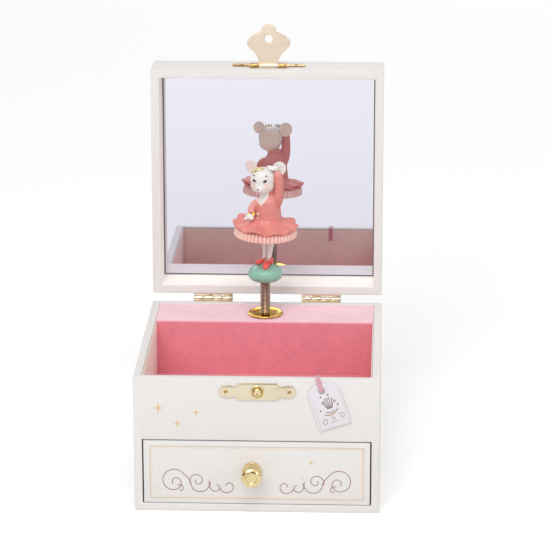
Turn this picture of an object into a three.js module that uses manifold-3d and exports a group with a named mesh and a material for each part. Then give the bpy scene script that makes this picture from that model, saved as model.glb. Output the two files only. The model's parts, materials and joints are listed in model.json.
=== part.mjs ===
// Wind-up music box: a paper-covered box with a hinged mirror lid, a lined well, a pull-out
// drawer, an 18-note comb movement behind a partition, and a dancer that turns on a spring.
// Millimetres and degrees. X runs to the right, Y to the back, Z up. The origin is the centre
// of the base's underside. The box stands open, with its lid resting on the hinge stop.
import * as THREE from 'three';
import { mergeVertices } from 'three/addons/utils/BufferGeometryUtils.js';
import Module from 'manifold-3d';

const wasm = await Module();
wasm.setup();

// ------------------------------------------------------------------ box and lid
const BOX_WIDTH = 110;
const BOX_DEPTH = 110;
const BASE_HEIGHT = 63.6;
const LID_HEIGHT = 22;
const WALL = 3.6;
const GLUE = 0.1; // paper and glue between two boards
const LID_GAP = 0.4; // between the closed rims
const LID_SETBACK = 0.5; // closed lid front, behind the base front
const LID_PANEL = 2.2;
const LID_WALL = 4;
const LID_OPEN_ANGLE = 91.6;
const MIRROR_THICKNESS = 0.8;

// ------------------------------------------------------------------ inside the base
const DRAWER_OPENING = 30.5;
const SHELF = 2.5;
const PARTITION = 1.8;
const LEDGE_BOARD = 2.4;
const LEDGE_DEPTH = 25.2; // from the back wall's inside to the ledge's lined edge
const LEDGE_DROP = 0.2; // lined ledge top below the rim
const LINING = 0.5;
const LINING_REVEAL = 0.6; // bare rim above the wall linings

// ------------------------------------------------------------------ drawer
const DRAWER_GAP = 0.6;
const DRAWER_REST = 0.25; // gap under the drawer
const DRAWER_SIDE = 2.4;
const DRAWER_BOTTOM = 2;
const DRAWER_WALL_DROP = 4; // walls stop below the opening's top
const DRAWER_REAR_GAP = 1.2;
const KNOB_X = -2; // left of the drawer's middle
const KNOB_RISE = 0.85; // above the drawer's middle
const KNOB_RADIUS = 4.45;
const KNOB_LENGTH = 9.6;
const KNOB_OUTLINE = [ // from flange to face: share of the radius, share of the length
  [0.96, 0], [1, 0.05], [1, 0.13], [0.88, 0.22], [0.84, 0.36], [0.85, 0.6], [0.93, 0.72],
  [0.99, 0.8], [1, 0.9], [0.88, 0.985], [0.5, 0.985], [0.46, 1],
];
const SCREW_RADIUS = 1.3;
const SCREW_HEAD = 2.9; // radius
const SCREW_HEAD_HEIGHT = 1.4;
const SCREW_BURY = 5; // length of the screw inside the knob
const RUNNING_GAP = 0.3; // between faces that turn or slide past each other

// ------------------------------------------------------------------ lid hinges
const HINGE_SPACING = 52;
const HINGE_LENGTH = 18.8;
const HINGE_OVERHANG = 2.4; // pin behind the back face
const HINGE_RISE = 0.8; // pin above the base rim
const HINGE_BARREL = 1.3; // radius
const HINGE_PIN = 0.6; // radius
const HINGE_LEAF = 0.85;
const HINGE_LEAF_HEIGHT = 9;
const KNUCKLES = 4;

// ------------------------------------------------------------------ clasp
const CLASP_X = 0.5;
const CLASP_SHEET = 0.6;
const PLATE_WIDTH = 34.4;
const PLATE_DROP = 6.1; // plate centre below the base rim
const PLATE_WING = 2.9; // half height of the round end lobes
const PLATE_HEIGHT = 8;
const PLATE_MIDDLE = 17.6;
const PLATE_HOLLOW = 1.2; // the shoulders' curve beside the middle
const PLATE_WAIST = 0.55; // height of the shoulders in wing half heights
const STUD_RADIUS = 1.7;
const STUD_RING = 3.1;
const STUD_LENGTH = 2.4;
const STUD_SHANK = 1;
const STUD_WASHER = 0.3;
const HASP_RISE = 6.2; // hasp pin above the lid rim
const HASP_BARREL = 1.15;
const HASP_PIN = 0.4;
const HASP_LEAF_WIDTH = 34.6;
const HASP_LEAF_HEIGHT = 6;
const HASP_LEAF_BEVEL = 1.2;
const HASP_KNUCKLE = 4;
const HASP_NECK = 9;
const FLAP_WIDTH = 20.6;
const FLAP_LENGTH = 19.7;
const FLAP_HOLE = 1.9;
const FLAP_OUTLINE = [ // from neck to lip: share of the half width, share of the length
  [0.47, 0.14], [0.53, 0.22], [0.68, 0.32], [0.81, 0.38], [0.96, 0.47], [1, 0.54], [0.98, 0.62],
  [0.88, 0.66], [0.8, 0.72], [0.63, 0.76], [0.5, 0.8], [0.36, 0.82], [0.33, 0.85], [0.32, 0.9],
  [0.26, 0.95], [0.16, 0.985], [0.05, 1],
];

// ------------------------------------------------------------------ dancer on its spring
const DOLL_FROM_BACK = 14.8; // turning axis in front of the back wall's inside
const CUP_RADIUS = 8.3;
const CUP_HEIGHT = 0.9;
const CUP_FLOOR = 0.4; // share of its height
const CUP_OUTLINE = [ // from foot over rim to floor: share of the radius, share of the height
  [0.5, 0], [0.78, 0.05], [0.95, 0.35], [1, 0.65], [0.98, 0.92], [0.94, 1], [0.88, 0.85],
  [0.76, 0.5], [0.5, CUP_FLOOR],
];
const SPRING_RADIUS = 2.35;
const SPRING_WIRE = 0.66;
const SPRING_PITCH = 0.84;
const SPRING_LENGTH = 15.8;
const SPRING_CORE = 1.35; // radius of the pegs inside the spring's ends
const PEG_LENGTH = 3;
const DOME_RADIUS = 8.1;
const DOME_HEIGHT = 7.8;
const DOME_FOOT = 4.6;
const DOME_BELLY = 0.38; // height of its widest ring in dome heights
const DANCER_HEIGHT = 50;
const SKIRT_RADIUS = 14.8;
const SKIRT_FOLDS = 10;
const SKIRT_LEAN = [3, 4]; // degrees lower at the front and at the right
const PETTICOAT_RADIUS = 14.3;
const PLEATS = 16;
const HEAD_RADIUS = 5.8;
const EAR_RADIUS = 3;

// The figure on its own scale: 50 high, measured from the top of the dome.
const FIGURE = 50;
const HEAD = [-1, -1, 41.2];
const MUZZLE = [-2.7, -5, 38.6];
const EARS = [[-6.2, 0.6, 47.4], [6.2, 0.6, 46.6]];
const WAIST = [0.9, 0, 21];
const BODICE_OUTLINE = [ // radius, height above the waist
  [0, -1], [6.2, -1], [5.8, 3], [5.4, 6.5], [4.4, 9.2], [2.4, 10.8], [2.1, 15], [0, 15],
];
const BODICE_DEPTH = 0.78; // depth in widths
const SKIRT_OUTLINE = [ // share of the radius, height above the rim
  [0.13, -0.6], [0.75, -1], [0.97, -0.9], [1, -0.2], [0.88, 0.6], [0.68, 1.4], [0.5, 2.4],
  [0.4, 3.6], [0.13, 4],
];
const SKIRT_RIM = 19.4;
const PETTICOAT_OUTLINE = [ // share of the radius, height above its own hem
  [0.14, 3.2], [0.8, 0.4], [0.96, 0], [1, 0.4], [0.97, 3.4], [0.7, 5.4], [0.14, 6.4],
];
const PETTICOAT_HEM = 14.2;
const RAISED_ARM = [[4.4, -0.6, 26], [6.4, -1.4, 30], [6.6, -2, 38], [6.1, -2.2, 44.6]];
const RAISED_HAND = [4.8, -2.2, 47];
const LOWERED_ARM = [[-2.4, -1, 29], [-5, -1.6, 28.4], [-6.4, -2.8, 26.6], [-6.3, -5, 25.4]];
const LOWERED_HAND = [-6.7, -6.1, 24.9];
const ARM_RADII = [2.1, 1.7]; // raised, lowered
const HAND = [1.9, 1.8, 1.5];
const LEGS = [
  { hip: [-0.3, 0.2, 17], ankle: [-0.3, 0.3, 1], radii: [1.2, 0.8] },
  { hip: [2.5, -0.6, 17], ankle: [2, -1, 1], radii: [1.9, 0.8] },
];
const SHOES = [
  { at: [-2, 0, 1], size: [2.3, 1.5, 1.3] },
  { at: [1, -3, 0.4], size: [1.4, 3, 1.4] },
  { at: [2.5, -0.5, 1.3], size: [1.3, 1.7, 1.5] },
];

// ------------------------------------------------------------------ tag
const TAG_WIDTH = 14.8;
const TAG_HEIGHT = 21;
const TAG_CARD = 0.4;
const TAG_HOLE = 1.5;
const TAG_CROWN = 1.5; // card above the hole
const TAG_OFFSET = 0.8; // card's middle, beside the hole
const TAG_CORNER = 3.2;
const TAG_INSET = 27.7; // from the box's right face to where the ribbon crosses the rim
const TAG_TILT = 18;
const RIBBON_WIDTH = 2;
const RIBBON = 0.25;
const RIBBON_JOIN = 1; // below the rim, where its two strands meet
const RIBBON_DROP = 5.7; // along the ribbon, rim to the hole's centre
const RIBBON_TAIL = 6.5;

// ------------------------------------------------------------------ movement
const BEDPLATE_WIDTH = 50;
const BEDPLATE_FOOT = 5.5; // bedplate's lower edge above the bottom panel
const BEDPLATE = 2;
const BEDPLATE_X = 3; // centre, right of the dancer's axis
const BARREL_Z = 17.5;
const BARREL_RADIUS = 11.5;
const BARREL_DEPTH = 6.2;
const BARREL_WALL = 0.9;
const GEAR_MODULE = 2 / 3;
const CROWN_TEETH = 30;
const CROWN_FACE = 1.4;
const PINION_TEETH = 12;
const PINION_HEIGHT = 3;
const ARBOR_RADIUS = 1.4;
const CYLINDER_RADIUS = 6.25;
const CYLINDER_SEAT = 1.6; // between the drive pinion and the cylinder
const FLY_ROOM = 8.2; // for gear, fly and its top bearing, from the cylinder to the ledge
const PIN_HEIGHT = 0.8;
const PIN_RADIUS = 0.2;
const PIN_ROOT = 0.6; // sunk into the cylinder
const PINS_PER_NOTE = 3;
const NOTES = 18;
const SPARE_PITCH = 0.5; // bare end of the cylinder, in notes
const SPINDLE_RADIUS = 1.1;
const BUSH_RADIUS = 2.4;
const BUSH_FLANGE = 4;
const COMB_THICKNESS = 0.8;
const COMB_BASE = 8;
const COMB_SCREW = 0.9;
const COMB_SCREW_HEAD = 1.9;
const COMB_SCREW_LENGTH = 4;
const TOOTH_SHARE = 0.68; // tooth width in note pitches
const LONG_TOOTH = 13;
const SHORT_TOOTH = 8;
const FLY_MODULE = 0.5;
const FLY_GEAR_TEETH = 24;
const FLY_PINION_TEETH = 8;
const FLY_GEAR = 1.6;
const FLY_RADIUS = 5.6;
const FLY_HEIGHT = 2.4;
const FLY_BLADE = 0.4;
const FLY_ARBOR = 0.6;
const BEARING_ARM = 2;
const BEARING_LEAF = 1; // the fly's own bearings
const ARM_WIDTH = 3.6;
const KEY_SPAN = 20;
const KEY_STANDOFF = 4; // key wings behind the back face
const KEY_HUB = 2.8;
const KEY_DEPTH = 9;
const KEY_THICKNESS = 1.8;
const SPRING_TURNS = 5;
const MAINSPRING = 0.5;

const ROUND = 28; // sides of a large round piece
const SMALL_ROUND = 16;
const TINY_ROUND = 10;
const FOLD_STEPS = 4; // around one fold of a frill
const COIL_STEPS = 10; // around one turn of the spring
const CUT = 1; // how far a cutting solid passes through a face

// ------------------------------------------------------------------ places that follow
const LEFT = -BOX_WIDTH / 2;
const RIGHT = BOX_WIDTH / 2;
const FRONT = -BOX_DEPTH / 2;
const BACK = BOX_DEPTH / 2;
const INNER_X = RIGHT - WALL;
const INNER_FRONT = FRONT + WALL;
const INNER_BACK = BACK - WALL;
const LID_INNER_X = RIGHT - LID_WALL;
const OPENING_TOP = WALL + DRAWER_OPENING;
const SHELF_TOP = OPENING_TOP + SHELF;
const WELL_FLOOR = SHELF_TOP + LINING;
const LEDGE_TOP = BASE_HEIGHT - LEDGE_DROP;
const LEDGE_UNDER = LEDGE_TOP - LINING - LEDGE_BOARD;
const LEDGE_EDGE = INNER_BACK - LEDGE_DEPTH;
const PARTITION_FRONT = LEDGE_EDGE + LINING;
const DOLL_Y = INNER_BACK - DOLL_FROM_BACK;
const HINGE_Y = BACK + HINGE_OVERHANG;
const HINGE_Z = BASE_HEIGHT + HINGE_RISE;
const LID_RIM = BASE_HEIGHT + LID_GAP;
const LID_TOP = LID_RIM + LID_HEIGHT;
const LID_FRONT = FRONT + LID_SETBACK;
const LID_UNDER_PANEL = LID_TOP - LID_PANEL;
const HASP_Z = LID_RIM + HASP_RISE;
const HASP_Y = LID_FRONT - HASP_BARREL;
const STUD_Z = BASE_HEIGHT - PLATE_DROP;
const TAG_X = RIGHT - TAG_INSET;
const CUP_Z = LEDGE_TOP + RUNNING_GAP;
const SPRING_Z = CUP_Z + CUP_HEIGHT * CUP_FLOOR + RUNNING_GAP;
const DOME_Z = SPRING_Z + SPRING_LENGTH + RUNNING_GAP;
const DANCER_Z = DOME_Z + DOME_HEIGHT;
const CROWN_PITCH = (CROWN_TEETH * GEAR_MODULE) / 2;
const PINION_PITCH = (PINION_TEETH * GEAR_MODULE) / 2;
const CROWN_PLANE = DOLL_Y + PINION_PITCH;
const CROWN_ROOT = CROWN_PLANE + GEAR_MODULE;
const PINION_Z = BARREL_Z + CROWN_PITCH - PINION_HEIGHT / 2;
const CYLINDER_Z = PINION_Z + PINION_HEIGHT + CYLINDER_SEAT;
const CYLINDER_TOP = LEDGE_UNDER - FLY_ROOM;
const NOTE_PITCH = (CYLINDER_TOP - CYLINDER_Z) / (NOTES + SPARE_PITCH);
const TOOTH_WIDTH = NOTE_PITCH * TOOTH_SHARE;
const FLY_GEAR_Z = CYLINDER_TOP + RUNNING_GAP + BEARING_LEAF;
const FLY_X = -((FLY_GEAR_TEETH + FLY_PINION_TEETH) * FLY_MODULE) / 2 - GLUE;
const BED_FACE = INNER_BACK - GLUE - BEDPLATE;

// ------------------------------------------------------------------ solids
const radians = THREE.MathUtils.degToRad;

function signedVolume(geometry) {
  const place = geometry.attributes.position;
  const index = geometry.index.array;
  const [a, b, c] = [new THREE.Vector3(), new THREE.Vector3(), new THREE.Vector3()];
  let volume = 0;
  for (let i = 0; i < index.length; i += 3) {
    a.fromBufferAttribute(place, index[i]);
    b.fromBufferAttribute(place, index[i + 1]);
    c.fromBufferAttribute(place, index[i + 2]);
    volume += a.dot(b.cross(c)) / 6;
  }
  return volume;
}

// One closed surface: shared vertices, no collapsed triangles, faces pointing out.
function closed(geometry) {
  geometry.deleteAttribute('normal');
  geometry.deleteAttribute('uv');
  const merged = mergeVertices(geometry, 1e-4);
  const kept = [];
  const index = merged.index.array;
  for (let i = 0; i < index.length; i += 3) {
    const [a, b, c] = [index[i], index[i + 1], index[i + 2]];
    if (a !== b && b !== c && c !== a) {
      kept.push(a, b, c);
    }
  }
  merged.setIndex(kept);
  if (signedVolume(merged) < 0) {
    merged.setIndex(kept.reverse());
  }
  return merged;
}

function solid(geometry) {
  const shape = closed(geometry);
  return new wasm.Manifold(new wasm.Mesh({
    numProp: 3,
    vertProperties: new Float32Array(shape.attributes.position.array),
    triVerts: new Uint32Array(shape.index.array),
  }));
}

function geometryOf(body) {
  const mesh = body.getMesh();
  const geometry = new THREE.BufferGeometry();
  geometry.setAttribute('position', new THREE.BufferAttribute(mesh.vertProperties, 3));
  geometry.setIndex(new THREE.BufferAttribute(mesh.triVerts, 1));
  return geometry;
}

function join(...geometries) {
  const bodies = geometries.map(solid);
  return geometryOf(bodies.reduce((whole, body) => whole.add(body)));
}

function cut(geometry, ...tools) {
  return geometryOf(tools.map(solid).reduce((whole, tool) => whole.subtract(tool), solid(geometry)));
}

function inOrder(...ends) {
  return [Math.min(...ends), Math.max(...ends)];
}

function box(x, y, z) {
  const geometry = new THREE.BoxGeometry(x[1] - x[0], y[1] - y[0], z[1] - z[0]);
  return geometry.translate((x[0] + x[1]) / 2, (y[0] + y[1]) / 2, (z[0] + z[1]) / 2);
}

// A turned piece about Z; the profile is a list of [radius, height].
function turned(profile, sides = ROUND) {
  const points = profile.map(([radius, height]) => new THREE.Vector2(radius, height));
  return closed(new THREE.LatheGeometry(points, sides).rotateX(Math.PI / 2));
}

function ring(inner, outer, bottom, top, sides = ROUND) {
  return turned([[inner, bottom], [outer, bottom], [outer, top], [inner, top], [inner, bottom]], sides);
}

function rod(radius, bottom, top, sides = SMALL_ROUND) {
  return turned([[0, bottom], [radius, bottom], [radius, top], [0, top]], sides);
}

function alongX(geometry) {
  return geometry.rotateY(Math.PI / 2);
}

function alongY(geometry) {
  return geometry.rotateX(-Math.PI / 2);
}

function shapeOf(points) {
  return new THREE.Shape(points.map(([x, y]) => new THREE.Vector2(x, y)));
}

function hole(shape, x, y, radius) {
  shape.holes.push(new THREE.Path().absarc(x, y, radius, 0, 2 * Math.PI, true));
  return shape;
}

function plate(shape, thickness, curveSegments = 8) {
  return new THREE.ExtrudeGeometry(shape, { depth: thickness, bevelEnabled: false, curveSegments });
}

// A plate standing in the XZ plane: its outline's x and y become X and Z, its back at y = 0.
function standingPlate(shape, thickness, curveSegments) {
  return plate(shape, thickness, curveSegments).rotateX(Math.PI / 2);
}

function tube(points, radius, steps, sides = 8) {
  const section = new THREE.Shape().absarc(0, 0, radius, 0, 2 * Math.PI);
  const path = new THREE.CatmullRomCurve3(points.map((point) => new THREE.Vector3(...point)));
  const shape = { steps, extrudePath: path, curveSegments: sides / 2, bevelEnabled: false };
  return new THREE.ExtrudeGeometry(section, shape);
}

// A tapered rod between two points.
function limb(start, end, startRadius, endRadius) {
  const [from, to] = [new THREE.Vector3(...start), new THREE.Vector3(...end)];
  const axis = to.clone().sub(from);
  const shape = new THREE.CylinderGeometry(endRadius, startRadius, axis.length(), TINY_ROUND);
  const upright = new THREE.Vector3(0, 1, 0);
  const turn = new THREE.Quaternion().setFromUnitVectors(upright, axis.normalize());
  return shape.applyQuaternion(turn).translate(...from.add(to).multiplyScalar(0.5).toArray());
}

// A round hole's cutting rod through a wall that faces the front.
function bore(radius, length, x, y, z) {
  return alongY(rod(radius, -CUT, length + CUT, TINY_ROUND)).translate(x, y, z);
}

function ball(centre, radii, sides = SMALL_ROUND) {
  const geometry = new THREE.SphereGeometry(1, sides, sides / 2);
  return geometry.rotateX(Math.PI / 2).scale(...radii).translate(...centre);
}

function gearShape(teeth, module, shift = 0) {
  const pitch = (teeth * module) / 2;
  const tip = pitch + 0.85 * module;
  const root = pitch - module;
  const points = [];
  for (let tooth = 0; tooth < teeth; tooth += 1) {
    const middle = (2 * Math.PI * (tooth + shift)) / teeth;
    const corners = [[root, -0.26], [tip, -0.1], [tip, 0.1], [root, 0.26]];
    for (const [radius, share] of corners) {
      const angle = middle + (2 * Math.PI * share) / teeth;
      points.push([radius * Math.cos(angle), radius * Math.sin(angle)]);
    }
  }
  return shapeOf(points);
}

// ------------------------------------------------------------------ finishes and nodes
const FINISHES = {
  paper: { color: 0xe6e1dc, roughness: 0.75, metalness: 0 },
  lining: { color: 0xd9748a, roughness: 0.95, metalness: 0 },
  paleLining: { color: 0xecc3d2, roughness: 0.95, metalness: 0 },
  brass: { color: 0xd8b04a, roughness: 0.25, metalness: 1 },
  paleBrass: { color: 0xe8d3a0, roughness: 0.35, metalness: 1 },
  steel: { color: 0x9a948c, roughness: 0.35, metalness: 1 },
  casting: { color: 0xa8a9ab, roughness: 0.5, metalness: 1 },
  mirror: { color: 0xeaeaf4, roughness: 0.03, metalness: 1 },
  coral: { color: 0xdd7f7c, roughness: 0.5, metalness: 0 },
  teal: { color: 0x7fbcae, roughness: 0.35, metalness: 0 },
  ribbon: { color: 0xdba9b5, roughness: 0.6, metalness: 0 },
  card: { color: 0xe9e6ea, roughness: 0.7, metalness: 0 },
};

const musicBox = new THREE.Group();

function add(parent, name, finish, geometry) {
  const mesh = new THREE.Mesh(closed(geometry), new THREE.MeshStandardMaterial(FINISHES[finish]));
  mesh.name = name;
  parent.add(mesh);
  return mesh;
}

function group(parent, x, y, z) {
  const child = new THREE.Group();
  child.position.set(x, y, z);
  parent.add(child);
  return child;
}

// ------------------------------------------------------------------ carcass
function buildCarcass() {
  const across = [-INNER_X + GLUE, INNER_X - GLUE];
  const sideHeight = [0, BASE_HEIGHT];
  const wallRun = [FRONT, BACK];
  add(musicBox, 'side_left', 'paper', box([LEFT, -INNER_X], wallRun, sideHeight));
  add(musicBox, 'side_right', 'paper', box([INNER_X, RIGHT], wallRun, sideHeight));
  const arborHole = bore(ARBOR_RADIUS + RUNNING_GAP, WALL, 0, INNER_BACK, BARREL_Z);
  add(musicBox, 'back_panel', 'paper', cut(box(across, [INNER_BACK, BACK], sideHeight), arborHole));
  add(musicBox, 'bottom_panel', 'paper', box(across, [FRONT, INNER_BACK - GLUE], [0, WALL]));
  const shankHole = bore(STUD_SHANK + GLUE, WALL, CLASP_X, FRONT, STUD_Z);
  const front = box(across, [FRONT, INNER_FRONT], [OPENING_TOP, BASE_HEIGHT]);
  add(musicBox, 'front_panel', 'paper', cut(front, shankHole));
  const shelfRun = [INNER_FRONT + GLUE, PARTITION_FRONT - GLUE];
  add(musicBox, 'drawer_shelf', 'paper', box(across, shelfRun, [OPENING_TOP, SHELF_TOP]));
  const partitionRun = [PARTITION_FRONT, PARTITION_FRONT + PARTITION];
  add(musicBox, 'partition', 'paper', box(across, partitionRun, [WALL + GLUE, LEDGE_UNDER - GLUE]));
  const ledgeRun = [PARTITION_FRONT, INNER_BACK - GLUE];
  const ledge = box(across, ledgeRun, [LEDGE_UNDER, LEDGE_UNDER + LEDGE_BOARD]);
  const bushHole = rod(BUSH_RADIUS + GLUE, LEDGE_UNDER - CUT, LEDGE_TOP + CUT);
  bushHole.translate(0, DOLL_Y, 0);
  add(musicBox, 'ledge_board', 'paper', cut(ledge, bushHole));
}

function buildLinings() {
  const wallTop = BASE_HEIGHT - LINING_REVEAL;
  const wellHeight = [WELL_FLOOR, wallTop];
  const runBack = LEDGE_EDGE - GLUE;
  const runFront = INNER_FRONT + LINING + GLUE;
  const across = [-INNER_X + LINING + GLUE, INNER_X - LINING - GLUE];
  const sideRun = [INNER_FRONT + GLUE, runBack];
  const leftSkin = [-INNER_X + GLUE / 2, across[0] - GLUE / 2];
  const rightSkin = [across[1] + GLUE / 2, INNER_X - GLUE / 2];
  add(musicBox, 'lining_left', 'lining', box(leftSkin, sideRun, wellHeight));
  add(musicBox, 'lining_right', 'lining', box(rightSkin, sideRun, wellHeight));
  const frontSkin = [INNER_FRONT + GLUE / 2, runFront - GLUE / 2];
  add(musicBox, 'lining_front', 'lining', box(across, frontSkin, wellHeight));
  const floorRun = [INNER_FRONT + GLUE, PARTITION_FRONT - GLUE];
  const floorAcross = [-INNER_X + GLUE, INNER_X - GLUE];
  const floorSkin = [SHELF_TOP + GLUE / 2, WELL_FLOOR - GLUE / 2];
  add(musicBox, 'lining_floor', 'lining', box(floorAcross, floorRun, floorSkin));
  const partitionSkin = [LEDGE_EDGE, PARTITION_FRONT - GLUE / 2];
  const partitionHeight = [WELL_FLOOR, LEDGE_TOP - LINING - GLUE];
  add(musicBox, 'lining_partition', 'lining', box(across, partitionSkin, partitionHeight));
  const ledgeSkin = [LEDGE_TOP - LINING + GLUE / 2, LEDGE_TOP];
  const ledge = box(floorAcross, [LEDGE_EDGE, INNER_BACK - GLUE], ledgeSkin);
  const bushHole = rod(BUSH_FLANGE + GLUE, LEDGE_UNDER, LEDGE_TOP + CUT).translate(0, DOLL_Y, 0);
  add(musicBox, 'lining_ledge', 'paleLining', cut(ledge, bushHole));
}

// ------------------------------------------------------------------ drawer
function buildDrawer() {
  const width = INNER_X - DRAWER_GAP;
  const bottom = WALL + DRAWER_REST;
  const top = OPENING_TOP - DRAWER_GAP;
  const wallTop = OPENING_TOP - DRAWER_WALL_DROP;
  const frontBack = FRONT + WALL;
  const rear = PARTITION_FRONT - DRAWER_REAR_GAP;
  const knobZ = (bottom + top) / 2 + KNOB_RISE;
  const screwHole = bore(SCREW_RADIUS + GLUE, WALL, KNOB_X, FRONT, knobZ);
  const front = box([-width, width], [FRONT, frontBack], [bottom, top]);
  add(musicBox, 'drawer_front', 'paper', cut(front, screwHole));
  const sideRun = [frontBack + GLUE, rear];
  const innerWidth = width - DRAWER_SIDE;
  add(musicBox, 'drawer_side_left', 'paper', box([-width, -innerWidth], sideRun, [bottom, wallTop]));
  add(musicBox, 'drawer_side_right', 'paper', box([innerWidth, width], sideRun, [bottom, wallTop]));
  const across = [-innerWidth + GLUE, innerWidth - GLUE];
  add(musicBox, 'drawer_back', 'paper', box(across, [rear - DRAWER_SIDE, rear], [bottom, wallTop]));
  const floorRun = [frontBack + GLUE, rear - DRAWER_SIDE - GLUE];
  add(musicBox, 'drawer_bottom', 'paper', box(across, floorRun, [bottom, bottom + DRAWER_BOTTOM]));
  const liningZ = bottom + DRAWER_BOTTOM + GLUE / 2;
  add(musicBox, 'drawer_lining', 'lining', box(across, floorRun, [liningZ, liningZ + LINING]));
  addKnob(knobZ);
}

// A turned knob: a round flange, a drum with a slight waist and a flat face with a raised disc.
function addKnob(knobZ) {
  const socket = SCREW_RADIUS + GLUE;
  const socketEnd = SCREW_BURY + CUT;
  const outline = KNOB_OUTLINE.map(([out, along]) => [out * KNOB_RADIUS, along * KNOB_LENGTH]);
  const inside = [[0, KNOB_LENGTH], [0, socketEnd], [socket, socketEnd], [socket, 0]];
  const knob = turned([[socket, 0], ...outline, ...inside]).rotateX(Math.PI / 2);
  add(musicBox, 'drawer_knob', 'brass', knob.translate(KNOB_X, FRONT, knobZ));
  const screw = turned([
    [0, -SCREW_BURY], [SCREW_RADIUS, -SCREW_BURY], [SCREW_RADIUS, WALL + GLUE],
    [SCREW_HEAD, WALL + GLUE], [SCREW_HEAD * 0.8, WALL + SCREW_HEAD_HEIGHT],
    [0, WALL + SCREW_HEAD_HEIGHT],
  ], SMALL_ROUND);
  add(musicBox, 'knob_screw', 'steel', alongY(screw).translate(KNOB_X, FRONT, knobZ));
}

// ------------------------------------------------------------------ lid, drawn closed
const lidPivot = group(musicBox, 0, HINGE_Y, HINGE_Z);
lidPivot.rotation.x = -radians(LID_OPEN_ANGLE);
const lid = group(lidPivot, 0, -HINGE_Y, -HINGE_Z);

function buildLid() {
  const wallHeight = [LID_RIM, LID_UNDER_PANEL - GLUE];
  const run = [LID_FRONT, BACK];
  add(lid, 'lid_panel', 'paper', box([LEFT, RIGHT], run, [LID_UNDER_PANEL, LID_TOP]));
  add(lid, 'lid_side_left', 'paper', box([LEFT, -LID_INNER_X], run, wallHeight));
  add(lid, 'lid_side_right', 'paper', box([LID_INNER_X, RIGHT], run, wallHeight));
  const across = [-LID_INNER_X + GLUE, LID_INNER_X - GLUE];
  add(lid, 'lid_front', 'paper', box(across, [LID_FRONT, LID_FRONT + LID_WALL], wallHeight));
  add(lid, 'lid_back', 'paper', box(across, [BACK - LID_WALL, BACK], wallHeight));
  const mirrorRun = [LID_FRONT + LID_WALL + GLUE, BACK - LID_WALL - GLUE];
  const mirrorTop = LID_UNDER_PANEL - GLUE;
  add(lid, 'mirror', 'mirror', box(across, mirrorRun, [mirrorTop - MIRROR_THICKNESS, mirrorTop]));
}

// ------------------------------------------------------------------ lid hinges
// A leaf screwed to the back face, bent out to its own two of the four knuckles.
function hingeLeaf(knuckles, rise) {
  const knuckleLength = HINGE_LENGTH / KNUCKLES;
  const face = BACK - HINGE_Y + GLUE / 2;
  const inner = rise * (HINGE_BARREL - HINGE_LEAF);
  const bend = inOrder(inner, rise * HINGE_BARREL);
  const sheetHeight = inOrder(inner, rise * HINGE_LEAF_HEIGHT);
  const halfLength = HINGE_LENGTH / 2;
  const pieces = [];
  for (const knuckle of knuckles) {
    const start = -halfLength + knuckle * knuckleLength + RUNNING_GAP / 2;
    const span = [start, start + knuckleLength - RUNNING_GAP];
    pieces.push(alongX(rod(HINGE_BARREL, span[0], span[1])));
    pieces.push(box(span, [face, 0], bend));
  }
  pieces.push(box([-halfLength, halfLength], [face, face + HINGE_LEAF], sheetHeight));
  const leaf = join(...pieces);
  return cut(leaf, alongX(rod(HINGE_PIN + GLUE, -halfLength - CUT, halfLength + CUT, TINY_ROUND)));
}

function buildHinges() {
  for (const [side, x] of [['left', -HINGE_SPACING / 2], ['right', HINGE_SPACING / 2]]) {
    const base = group(musicBox, x, HINGE_Y, HINGE_Z);
    add(base, `hinge_${side}_base_leaf`, 'brass', hingeLeaf([0, 2], -1));
    const pin = alongX(rod(HINGE_PIN, -HINGE_LENGTH / 2, HINGE_LENGTH / 2, TINY_ROUND));
    add(base, `hinge_${side}_pin`, 'brass', pin);
    const lidSide = group(lidPivot, x, 0, 0);
    add(lidSide, `hinge_${side}_lid_leaf`, 'brass', hingeLeaf([1, 3], 1));
  }
}

// ------------------------------------------------------------------ clasp
// The plate's middle is a wide panel; concave shoulders lead to a round lobe at each end.
function claspPlateShape() {
  const middle = PLATE_MIDDLE / 2;
  const top = PLATE_HEIGHT / 2;
  const lobe = PLATE_WIDTH / 2 - PLATE_WING;
  const neck = lobe - PLATE_WING * 0.9;
  const bulge = middle + PLATE_HOLLOW;
  const shoulder = PLATE_WING * PLATE_WAIST;
  const shape = new THREE.Shape();
  shape.moveTo(-middle, -top);
  shape.lineTo(middle, -top);
  shape.quadraticCurveTo(bulge, -shoulder, neck, -PLATE_WING);
  shape.lineTo(lobe, -PLATE_WING);
  shape.absarc(lobe, 0, PLATE_WING, -Math.PI / 2, Math.PI / 2);
  shape.lineTo(neck, PLATE_WING);
  shape.quadraticCurveTo(bulge, shoulder, middle, top);
  shape.lineTo(-middle, top);
  shape.quadraticCurveTo(-bulge, shoulder, -neck, PLATE_WING);
  shape.lineTo(-lobe, PLATE_WING);
  shape.absarc(-lobe, 0, PLATE_WING, Math.PI / 2, 1.5 * Math.PI);
  shape.lineTo(-neck, -PLATE_WING);
  shape.quadraticCurveTo(-bulge, -shoulder, -middle, -top);
  return shape;
}

// Fan outline of the flap, from its neck at the pin to the lip at its tip.
function flapShape() {
  const side = FLAP_OUTLINE.map(([out, along]) => [(out * FLAP_WIDTH) / 2, along * FLAP_LENGTH]);
  side.unshift([HASP_NECK / 2, 0]);
  const other = side.map(([x, y]) => [-x, y]).reverse();
  return hole(shapeOf([...side, ...other]), 0, HASP_Z - STUD_Z, FLAP_HOLE);
}

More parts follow.
